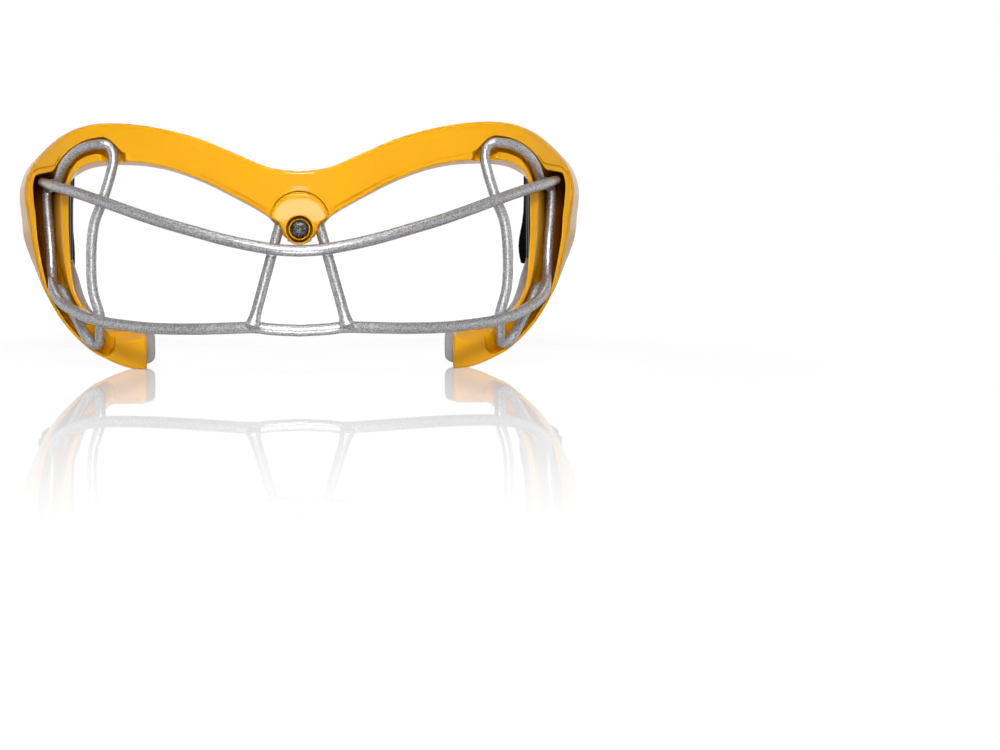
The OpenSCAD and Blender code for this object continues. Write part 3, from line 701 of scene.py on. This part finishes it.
def ended_path(path, radius, tip, thin, run=6.0):
    """Adds rounded ends, tip radii long, to a path that thins towards them over a run."""
    path = np.asarray(path, float)
    steps = np.linalg.norm(np.diff(path, axis=0), axis=1)
    gone = np.concatenate([[0], np.cumsum(steps)])
    near = np.minimum(np.minimum(gone, gone[-1] - gone) / run, 1)
    body = list(radius * (thin + (1 - thin) * np.sin(near * math.pi / 2)))
    shares = np.sin(np.linspace(0, math.pi / 2, 7))[1:]
    heights = np.cos(np.linspace(0, math.pi / 2, 7))[1:]
    first, last = unit(path[0] - path[1]), unit(path[-1] - path[-2])
    start = [path[0] + first * body[0] * tip * s for s in shares]
    end = [path[-1] + last * body[-1] * tip * s for s in shares]
    radii = [max(body[0] * h, 0.02) for h in heights]
    return np.array(start[::-1] + list(path) + end), radii[::-1] + body + radii


def through(points, per_point=8, closed=False):
    count = len(points) * per_point if closed else (len(points) - 1) * per_point + 1
    return np.array([smooth(points, k / per_point, closed) for k in range(count)])


# %% Rails
RAIL_R = 1.6
upper_points = [
    [0, -3.5, 34.2], [7.7, -3.2, 34.8], [19.1, -1.4, 37], [30.2, 1.8, 40], [41.7, 6.5, 43.4],
    [55.8, 14, 48.3], [64.5, 20.4, 51.2], [72.4, 28, 53.5], [77.6, 36, 55.1]]
lower_points = [
    [0, -8, 12.7], [7.6, -7.9, 13.1], [12.4, -7.6, 13.6], [20.9, -6, 13.3], [29.7, -3.6, 13],
    [40.8, 1, 13], [52.7, 9, 13.8], [58, 13.2, 14.7], [62.2, 17, 15.6], [69.2, 24, 18.7],
    [72.5, 27.2, 22], [74, 29.8, 25.6]]
rails = (("upper_wire", upper_points, 1.0, 0.85), ("lower_wire", lower_points, 1.5, 0.6))
for name, points, tip, thin in rails:
    path, radii = ended_path(both_halves(through(points)), RAIL_R, tip, thin)
    rail = skin(name + "_painted", tube_rings(path, radii), silver, weighted=False)
    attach(rail, ROOT)
    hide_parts(name)
    print(name, "length %.0f mm" % np.linalg.norm(np.diff(path, axis=0), axis=1).sum())

# %% [markdown]
# Where two wires cross they are set a little into each other. The crossing points are worked
# out from the rails, as in the solid model: start on the rail, and step out at right
# angles to both wires.

# %% Crossings
SINK = 0.25
LOOP_R = 1.5
LOOP_TOP_X = 58.4
LOOP_FOOT_X = 59.4
LOOP_TIP_X = 75.4


def rail_at(points, x):
    path = through(points, 40)
    i = int(np.searchsorted(path[:, 0], x))
    f = (x - path[i - 1][0]) / (path[i][0] - path[i - 1][0])
    return path[i - 1] + f * (path[i] - path[i - 1])


def crossing(points, x, heading, second_r, side):
    p = rail_at(points, x)
    along = unit(rail_at(points, x + 0.5) - rail_at(points, x - 0.5))
    out = unit(np.cross(along, heading))
    return p + out * math.copysign(RAIL_R + second_r - SINK, out[1] * side)


over_upper = crossing(upper_points, LOOP_TOP_X, [0.29, -0.05, -0.95], LOOP_R, 1)
over_lower = crossing(lower_points, LOOP_FOOT_X, [-0.1, 0.1, -0.98], LOOP_R, 1)
over_tip = crossing(upper_points, LOOP_TIP_X, [-0.48, -0.67, 0.57], LOOP_R, 1)
loop_points = [
    [58.1, 22, 65.5], [55.2, 21.6, 64.6], [54, 20.6, 61.6], [54.7, 19.4, 56.6], over_upper,
    [59.3, 18, 42.2], [60.1, 17.4, 33.7], [59.7, 17, 23.5], over_lower,
    [58, 18.8, 10.1], [58.4, 21.2, 7.4], [60.3, 22.2, 7.15], [62.4, 23.1, 9], [65.4, 25.2, 13.6],
    [68.5, 27.4, 18.9], [69.8, 28.7, 21.4], [70.9, 30, 22.7], [72.8, 32, 23.3], [74.2, 34, 24.9],
    [74.9, 36, 28.4], [75.3, 37.4, 32.5], [75.9, 38.8, 38], [76.7, 39.6, 47], [76.5, 39, 53],
    over_tip, [69.4, 28.1, 60.1], [64.3, 24.8, 64.3]]

# %% Side loops
loop_path = through(loop_points, closed=True)
for side, word in SIDES:
    rings = tube_rings(mirrored(loop_path, side), [LOOP_R] * len(loop_path), closed=True)
    if side == LEFT:
        rings = [r[::-1] for r in rings]
    loop = skin("side_loop_%s_painted" % word, rings, silver, closed=True, weighted=False)
    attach(loop, ROOT)
    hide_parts("side_loop_" + word)
length = np.linalg.norm(np.diff(np.vstack([loop_path, loop_path[:1]]), axis=0), axis=1).sum()
print("side loop length %.0f mm" % length)


# %% Struts: straight rods, pressed a little flat at the foot where they are welded
def pressed_flat(ring, wide, thin):
    """A ring made wider across and thinner in depth, about its middle."""
    middle = ring.mean(0)
    return middle + (ring - middle) * [wide, thin, 1]


STRUT_R = 1.5
STRUT_TOP_X = 7.7
STRUT_FOOT_X = 12.2
BELOW_WELD = 1.2
HEAD_Z = 42.5
heading = [0.25, -0.45, -0.86]
strut_upper = crossing(upper_points, STRUT_TOP_X, heading, STRUT_R, 1)
strut_lower = crossing(lower_points, STRUT_FOOT_X, heading, STRUT_R, -1)
way = unit(strut_upper - strut_lower)
foot = strut_lower + way * (-BELOW_WELD / way[2])
head = strut_lower + way * ((HEAD_Z - strut_lower[2]) / way[2])
for side, word in SIDES:
    path = [foot] + [foot + way * run for run in (0.25, 1.5, 3, 5)]
    path += [head - way * 3, head - way * 0.2, head]
    radii = [STRUT_R - 0.25] + [STRUT_R] * 6 + [STRUT_R - 0.2]
    rings = tube_rings(mirrored(path, side), radii)
    for k, (wide, thin) in enumerate(((1.4, 0.7), (1.38, 0.72), (1.3, 0.8), (1.1, 0.92))):
        rings[k] = pressed_flat(rings[k], wide, thin)
    strut = skin("nose_strut_%s_painted" % word, rings, silver)
    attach(strut, ROOT)
    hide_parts("nose_strut_" + word)

# %% [markdown]
# A weld leaves a small swelling of metal round the touching line. A flattened ball at each
# crossing, wider than the gap between the wires and painted with them, gives that fillet.


# %% Weld beads
def ball(name, centre, size, way, material, rings=12, sides=18):
    way = unit(way)
    out = []
    side = unit(np.cross(way, [0.3, 0.1, 0.9]))
    up = np.cross(way, side)
    a = np.arange(sides) * 2 * math.pi / sides
    for k in range(1, rings):
        lat = math.pi * k / rings
        ring = np.cos(a)[:, None] * side * size[0] + np.sin(a)[:, None] * up * size[0]
        out.append(np.asarray(centre) - way * size[1] * math.cos(lat) + math.sin(lat) * ring)
    return skin(name, out, material, weighted=False)


BEAD = (1.75, 0.75)
welds = [
    (upper_points, STRUT_TOP_X, strut_upper), (lower_points, STRUT_FOOT_X, strut_lower),
    (upper_points, LOOP_TOP_X, over_upper), (lower_points, LOOP_FOOT_X, over_lower),
    (upper_points, LOOP_TIP_X, over_tip)]
for i, (points, x, b) in enumerate(welds):
    a = rail_at(points, x)
    for side, word in SIDES:
        bead = ball("weld_%d_%s" % (i + 1, word), mirrored((a + b) / 2, side), BEAD,
                    mirrored(b - a, side), silver)
        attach(bead, ROOT)

# %% [markdown]
# ## The nose clamp
# The clamp is a small plate of the frame's plastic with a round boss. The screw's head sits
# in a recess of the boss. From the front it is an arch with rounded shoulders and sides
# that sweep in to the boss. The plate is a skin of outlines, one behind another and each a
# little larger, which rounds its front edge. The boss is a profile swung round the screw.

# %% Plate of the clamp
BOSS_R = 4.15
GROOVE_R = 3.72
UNDER_R = 4
ARCH_GAP = 0.35
DOME = 0.0032
DOME_Z = 43


def clamp_outline(shrink):
    r = ARCH_R - ARCH_GAP
    angles = np.radians(range(80, -81, -4))
    arc = [(r * math.sin(a), ARCH_Z + r * math.cos(a)) for a in angles]
    flank = [(0.96, ARCH_Z + 1.1), (0.86, ARCH_Z + 0.7), (0.75, ARCH_Z + 0.2),
             (0.64, ARCH_Z - 1), (0.57, BOSS_Z - 0.3), (0.53, BOSS_Z - 1.2), (0.5, BOSS_Z - 1.8)]
    angles = np.linspace(0.6, math.pi - 0.6, 15)
    under = [(-UNDER_R * math.cos(a), BOSS_Z - UNDER_R * math.sin(a)) for a in angles]
    left, right = [(-x * r, z) for x, z in flank], [(x * r, z) for x, z in reversed(flank)]
    outline = arc + left + under + right
    hub_z = BOSS_Z + 2
    inner = []
    for x, z in outline:
        share = 1 - shrink / math.hypot(x, z - hub_z)
        x, z = x * share, hub_z + (z - hub_z) * share
        out = max(1, GROOVE_R / math.hypot(x, z - BOSS_Z))
        inner.append((x * out, BOSS_Z + (z - BOSS_Z) * out))
    return inner


def plate_ring(shrink, front, to_boss=0):
    """An outline of the plate, or part of the way to the boss; the face is a shallow dome."""
    ring = []
    for x, z in clamp_outline(shrink):
        share = 1 - to_boss * (1 - GROOVE_R / math.hypot(x, z - BOSS_Z))
        x, z = x * share, BOSS_Z + (z - BOSS_Z) * share
        ring.append([x, front + DOME * (z - DOME_Z) ** 2, z])
    return ring


ROUNDING = [(-0.33, 2.2), (-0.33, 1.0), (-0.02, 0.85), (0, 0.7), (0.04, 0.5), (0.14, 0.34),
            (0.3, 0.24), (0.55, 0.2)]
FACE_SHRINK = ROUNDING[-1][0]
rings = [plate_ring(shrink, y) for shrink, y in ROUNDING]
rings += [plate_ring(FACE_SHRINK, 0.19, share) for share in (0.1, 0.3, 0.5, 0.7, 0.85, 0.95, 1)]
rings += [plate_ring(FACE_SHRINK, y, 1) for y in (0.4, 1.4, 2.4)]
plate = skin("clamp_plate", [r[::-1] for r in rings], plastic)
# The plate's last two rings, which run back into the groove round the boss, take painted shade.
paint_shade(plate, np.repeat([0.0] * (len(rings) - 2) + [0.75, 0.75], len(rings[0])))


# %% Boss with its recess, turned round the screw's axis
TURNED_SIDES = 64


def turned(name, profile, material, weighted=True):
    """A closed form from (radius, depth) pairs, from the front round to the back."""
    rings = [circle(max(r, 0.01), y, TURNED_SIDES)[::-1] for r, y in profile]
    return skin(name, rings, material, weighted=weighted)


boss = turned("clamp_boss", [
    (1.7, 1.3), (3.4, 1.3), (3.6, 1.15), (3.66, 0.9), (3.68, -1.2), (3.74, -1.42),
    (3.84, -1.5), (3.96, -1.47), (4.07, -1.35), (BOSS_R - 0.02, -1.1), (BOSS_R, -0.8),
    (BOSS_R, 4.6), (1.7, 4.6)], plastic)
# The floor and the inner wall of the recess round the screw's head take painted shade.
paint_shade(boss, np.repeat([0.75] * 4 + [0.4] + [0.0] * 8, TURNED_SIDES))
step = turned("clamp_step", [
    (2.62, 2.6), (2.62, 0), (2.7, -0.14), (2.84, -0.16), (2.96, -0.06), (3.0, 0.1), (3.0, 0.5),
    (3.0, 2.6)], plastic)
# The step's inner and outer walls take painted shade, its front edge none.
paint_shade(step, np.repeat([0.75, 0.5, 0, 0, 0, 0.2, 0.75, 0.75], TURNED_SIDES))
for piece in (plate, boss, step):
    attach(piece, ROOT)
    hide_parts("nose_clamp")

# %% [markdown]
# The screw's head is a low dark dome. A six-sided socket is cut into it, faint under the
# coarse black finish.

# %% Screw
SOCKET_R = 1.0
screw = turned("screw_head", [
    (0.01, -0.72), (0.6, -0.72), (1.3, -0.68), (1.9, -0.55), (2.25, -0.3), (2.42, 0), (2.45, 0.35),
    (2.45, 0.6), (1.5, 0.6), (1.5, 10.2), (0.01, 10.2)], screw_metal, weighted=False)
six_sided = [circle(SOCKET_R, -2, 6), circle(SOCKET_R, -0.25, 6)]
socket = skin("socket", six_sided, screw_metal, weighted=False)
cut(screw, [socket])
keep_flats(screw)
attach(screw, ROOT)
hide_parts("clamp_screw")

# %% [markdown]
# ## The pads
# Soft silicone strips lie on the rear face of the frame, where it meets the brow and the
# cheeks. Their sections are rounded, and the cheek pads carry fine ribs across, which
# show as steps in their outline. Each takes its place from the frame's own rear corners.

# %% Pads along the frame's rear face
BROW_THICK = 2.9
CHEEK_THICK = 4.3
CROWN = 1.05
SHOULDER = 0.85
RIB = 0.22
RIB_PITCH = 0.55


def pad_section(t, low, high, thick, shift=(0, 0.3, 0)):
    _, _, c, d = corners(t)
    a, b = d + (c - d) * low + shift, d + (c - d) * high + shift
    back = np.array([0, thick, 0])
    polygon = [a, b, b + back * SHOULDER, (a + b) / 2 + back * CROWN, a + back * SHOULDER]
    return rounded(polygon, [0.4, 0.4, thick * 0.45, thick * 1.2, thick * 0.45])


brow_low = [[0, 0.42], [2, 0.5], [4, 0.85], [8, 0.85]]
half = []
for t in np.arange(0, 8.001, 0.1):
    end = min(1.0, (8 - t) / 0.35 + 0.25)
    half.append(pad_section(t, 0.12, eased(brow_low, t, 0.3), BROW_THICK * end))
rings = both_halves(half)
brow = skin("brow_pad_soft", rings, silicone)
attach(brow, ROOT)
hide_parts("brow_pad")

inner_side = [[17, 1.22], [18, 1.32], [19, 1.16], [20, 1.02], [22, 1], [25, 0.95]]
for side, word in SIDES:
    rings = []
    for t in np.arange(17, 25.001, 0.05):
        start = min(1.0, (t - 17) / 0.6 + 0.3)
        rib = RIB * max(0.0, math.sin(t * 2 * math.pi / RIB_PITCH)) if t > 21.5 else 0
        rings.append(pad_section(t, 0.1, eased(inner_side, t, 0.3), (CHEEK_THICK + rib) * start))
    for k in np.linspace(0.1, 1, 12):
        inward = math.sin(k * math.pi / 2)
        thick, shift = CHEEK_THICK * math.cos(k * 1.1), (-3.3 * inward, 0.3 + 0.9 * k, 0)
        rings.append(pad_section(LAST, 0.1 + 0.2 * k ** 2, 0.95 - 0.2 * k ** 3, thick, shift))
    pad = skin("cheek_pad_%s_soft" % word, sided(rings, side), silicone)
    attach(pad, ROOT)
    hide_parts("cheek_pad_" + word)

# %% [markdown]
# ## The strap
# The elastic is a knitted band. It is sewn round the clip's bar, runs back through the
# adjuster, is folded once for storage and ends round the clasp's bar. Its middle line is
# drawn in plan, and a flat section with round edges, a little thinner than the solid's,
# follows it.

# %% Middle line of the elastic, in plan
bar_y, strap_x, strap_z = PIVOT[1] + 18, 82.0, 45.0
THICK, WIDE, BAR_D, GAP, PITCH, TAIL = 1.6, 32.0, 2.8, 0.3, 3.4, 11.0
THINNER = 0.97
loop_r = BAR_D / 2 + GAP + THICK / 2
main_x = strap_x - loop_r
folded_x = main_x + PITCH
fold_y = bar_y + 32.5
clasp_x = folded_x + loop_r
clasp_bar_y = fold_y - 7.5


def turn(centre, radius, start, end, steps=16):
    angles = np.radians(np.linspace(start, end, steps + 1))
    return [[centre[0] + radius * math.cos(a), centre[1] + radius * math.sin(a)] for a in angles]


def straight(start, end, steps):
    return [[a + (b - a) * k / steps for a, b in zip(start, end)] for k in range(1, steps)]


tail_x = main_x + THICK + GAP
route = [[tail_x, bar_y + TAIL], [tail_x, bar_y + TAIL * 0.75], [tail_x, bar_y + TAIL / 2]]
route += turn((strap_x, bar_y), loop_r, 20, -180)
route += straight((main_x, bar_y), (main_x, fold_y), 40)
route += turn((main_x + PITCH / 2, fold_y), PITCH / 2, 180, 0)
route += straight((folded_x, fold_y), (folded_x, clasp_bar_y), 20)
route += turn((clasp_x, clasp_bar_y), loop_r, 180, 380)
route += [[folded_x + THICK + GAP, clasp_bar_y + TAIL * share] for share in (0.5, 0.7, 0.9)]


# %% Elastic
def fold_curl(y, z, curl):
    """How far the fold's end leans inwards: only behind the adjuster's travel."""
    amount, height = curl
    behind = min(max((y - fold_y + 4) / 5, 0), 1)
    return amount * behind ** 2 * (3 - 2 * behind) * math.exp(-((z - height) / 8) ** 2)


def band(name, side, route, material, curl):
    route = np.asarray(route, float)
    n = len(route)
    across = [-0.985, -0.9, -0.75, -0.6, -0.45, -0.3, -0.1, 0.15, 0.4, 0.65, 0.9, 0.985]
    edge = [(-1, -0.35)] + [(w, -1) for w in across] + [(1, -0.35), (1, 0.35)]
    edge += [(w, 1) for w in reversed(across)] + [(-1, 0.35)]
    rings = []
    for i in range(n):
        into = unit(route[max(i, 1)] - route[max(i, 1) - 1])
        out = unit(route[min(i, n - 2) + 1] - route[min(i, n - 2)])
        way = unit(into + out)
        normal = np.array([-way[1], way[0]]) / max(0.4, float(np.dot(way, into)))
        ring = [[*(route[i] + normal * h * THICK / 2 * THINNER), strap_z + w * WIDE / 2]
                for w, h in edge]
        rings.append([[x - fold_curl(y, z, curl), y, z] for x, y, z in ring])
    return skin(name, sided(rings, side), material)


for side, word, curl in ((LEFT, "left", (-0.9, 46)), (RIGHT, "right", (2.0, 35))):
    strap = band("strap_%s_elastic" % word, side, route, elastic, curl)
    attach(strap, "strap_side_" + word)
    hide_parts("strap_" + word)


# %% [markdown]
# ## Nylon clips, adjusters and clasp halves
# These have the right form in the solid model, but with razor-sharp edges. A copy of each
# gets its coplanar faces merged and its edges rounded by a bevel, which is how moulded
# nylon looks, and stands in for the sharp one. The cage's steel tab is rounded in the same
# way, and drawn narrower than its solid, so that it stays behind the boss.


# %% Rounded copies of the small solids
def softened(source, name, width_mm, material):
    obj = added(name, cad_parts[source].data.copy())
    obj.data.materials.clear()
    obj.data.materials.append(material)
    weld = obj.modifiers.new("weld", "WELD")
    weld.merge_threshold = 1e-6
    flat = obj.modifiers.new("flat", "DECIMATE")
    flat.decimate_type = "DISSOLVE"
    flat.angle_limit = math.radians(1)
    bevel = obj.modifiers.new("bevel", "BEVEL")
    bevel.width = width_mm / 1000
    bevel.segments = 2
    bevel.limit_method = "ANGLE"
    bevel.angle_limit = math.radians(40)
    bevel.use_clamp_overlap = True
    apply_modifiers(obj)
    obj.data.shade_smooth()
    keep_flats(obj)
    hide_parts(source)
    return obj


TAB_SHARE = 0.5
small = [
    ("strap_clip_left", "strap_side_left", 0.4), ("strap_clip_right", "strap_side_right", 0.4),
    ("slider_left", "adjuster_left", 0.25), ("slider_right", "adjuster_right", 0.25),
    ("buckle_hook", "strap_side_left", 0.4), ("buckle_catch", "strap_side_right", 0.4)]
for source, body, width in small:
    piece = softened(source, source + "_nylon", width, nylon)
    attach(piece, body)
tab = softened("cage_tab", "cage_tab_rounded", 0.3, silver)
tab.data.transform(Matrix.Diagonal((TAB_SHARE, 1, 1, 1)))
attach(tab, ROOT)

# %% Solids that show as they are
metals = {"threaded_insert": brass, "clip_pin_left": pin_steel, "clip_pin_right": pin_steel}
for name, material in metals.items():
    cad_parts[name].data.materials.clear()
    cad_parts[name].data.materials.append(material)

# %% [markdown]
# ## Floor, light and background
# The goggles stand on white, with a faint mirror image under them. The floor's white is a
# glow that the camera sees, through Light Path, and not more light, so the plastic keeps its
# own colour. Near the goggles the floor is partly a mirror, which fades out to the front,
# the back and the sides. To light that bounces it is plain white.


# %% White floor
def between(tree, value, low, high, first, last):
    """A value carried from one span to another, held at its ends."""
    made = node(tree, "MapRange", clamp=True, interpolation_type="SMOOTHSTEP")
    tree.links.new(value, made.inputs["Value"])
    labels = ("From Min", "From Max", "To Min", "To Max")
    for label, number in zip(labels, (low, high, first, last)):
        made.inputs[label].default_value = number
    return made.outputs["Result"]


def seen_directly(tree, rays):
    """1 for rays from the camera, also through clear things, and 0 for others."""
    camera_ray, clear_ray = rays.outputs["Is Camera Ray"], rays.outputs["Is Transmission Ray"]
    return math_node(tree, "MAXIMUM", camera_ray, clear_ray)


def mixed(tree, share, first, second):
    made = node(tree, "MixShader")
    for socket, value in zip(made.inputs, (share, first, second)):
        tree.links.new(value, socket)
    return made.outputs[0]


WHITE = (1, 1, 1, 1)
BOUNCE_WHITE = (0.8, 0.8, 0.8, 1)
MIRROR = 0.62
GLOW_SEEN = 1.12
GLOW_MIRRORED = 0.7
floor_white = bpy.data.materials.new("floor white")
floor_white.use_nodes = True
tree = floor_white.node_tree
link = tree.links.new
tree.nodes.remove(tree.nodes["Principled BSDF"])
place = coordinates(tree, "Object")
reach = node(tree, "VectorMath", operation="LENGTH")
link(node(tree, "TexCoord").outputs["Object"], reach.inputs[0])
lit = node(tree, "BsdfDiffuse", Color=BOUNCE_WHITE)
glow = node(tree, "Emission")
mirror = node(tree, "BsdfGlossy", Color=WHITE, Roughness=0.02)
glow_share = between(tree, reach.outputs["Value"], 0.1, 0.35, 0.8, 1.0)
to_front = between(tree, place["Y"], -0.31, 0.0, 0.0, MIRROR)
to_back = between(tree, place["Y"], 0.02, 0.1, 1.0, 0.0)
mirror_share = math_node(tree, "MULTIPLY", to_front, to_back)
beside = math_node(tree, "ABSOLUTE", place["X"], 0)
to_side = between(tree, beside, 0.085, 0.125, 1.0, 0.0)
mirror_share = math_node(tree, "MULTIPLY", mirror_share, to_side)
ground = mixed(tree, glow_share, lit.outputs[0], glow.outputs[0])
ground = mixed(tree, mirror_share, ground, mirror.outputs[0])
rays = node(tree, "LightPath")
direct = seen_directly(tree, rays)
link(between(tree, direct, 0, 1, GLOW_MIRRORED, GLOW_SEEN), glow.inputs["Strength"])
seen = math_node(tree, "MAXIMUM", direct, rays.outputs["Is Glossy Ray"])
surface = mixed(tree, seen, lit.outputs[0], ground)
link(surface, tree.nodes["Material Output"].inputs["Surface"])
FAR = 3.0
square = [(-FAR, -FAR, 0), (FAR, -FAR, 0), (FAR, FAR, 0), (-FAR, FAR, 0)]
floor = from_faces("floor", square, [(0, 1, 2, 3)], floor_white)

# %% [markdown]
# The world is white to the camera, darker in a mirror to the front and above, and gives only
# a weak even light. A soft box hangs above, a narrow key before the goggles, a box on each
# side and a small card before the nose. The side boxes give light but no glints, so the
# floor doesn't mirror them.

# %% World and lamps
EVEN_LIGHT = 0.19
FRONT_GLOSS = 0.7
TOP_GLOSS = 0.4
world = bpy.data.worlds.new("studio")
bpy.context.scene.world = world
world.use_nodes = True
tree = world.node_tree
sky = tree.nodes["Background"]
sky.inputs["Color"].default_value = WHITE
rays = node(tree, "LightPath")
way = coordinates(tree, "Generated")
behind = between(tree, way["Y"], -0.5, -0.1, FRONT_GLOSS, 1.0)
low = between(tree, way["Z"], 0.3, 0.6, 1.0, TOP_GLOSS)
wall = math_node(tree, "MULTIPLY", behind, low)
direct = seen_directly(tree, rays)
glossy = math_node(tree, "MULTIPLY", rays.outputs["Is Glossy Ray"], wall)
even = math_node(tree, "MULTIPLY", rays.outputs["Is Diffuse Ray"], EVEN_LIGHT)
level = math_node(tree, "MAXIMUM", math_node(tree, "MAXIMUM", direct, glossy), even)
tree.links.new(level, sky.inputs["Strength"])


def soft_box(name, place, size, watts, aim=(0, 0, 0.04), grid=180, glints=True):
    """An area lamp; the grid is the angle of the cone that it lights, in degrees."""
    light = bpy.data.lights.new(name, "AREA")
    light.shape = "RECTANGLE"
    light.size, light.size_y = size
    light.energy = watts
    light.spread = math.radians(grid)
    obj = added(name, light)
    obj.visible_glossy = glints
    obj.location = place
    obj.rotation_euler = (Vector(aim) - Vector(place)).to_track_quat("-Z", "Y").to_euler()


soft_box("top box", (0, -0.2, 0.8), (0.5, 0.35), 1.0)
soft_box("key", (0, -0.6, 0.4), (0.2, 0.15), 0.185, (0, 0, 0.05), 40)
for side, word in SIDES:
    soft_box(word + " box", (0.68 * side, -0.42, 0.25), (0.25, 0.6), 0.22, glints=False)
soft_box("nose card", (0, -0.42, 0.0685), (0.085, 0.043), 0.12, (0, -0.04, 0.05))
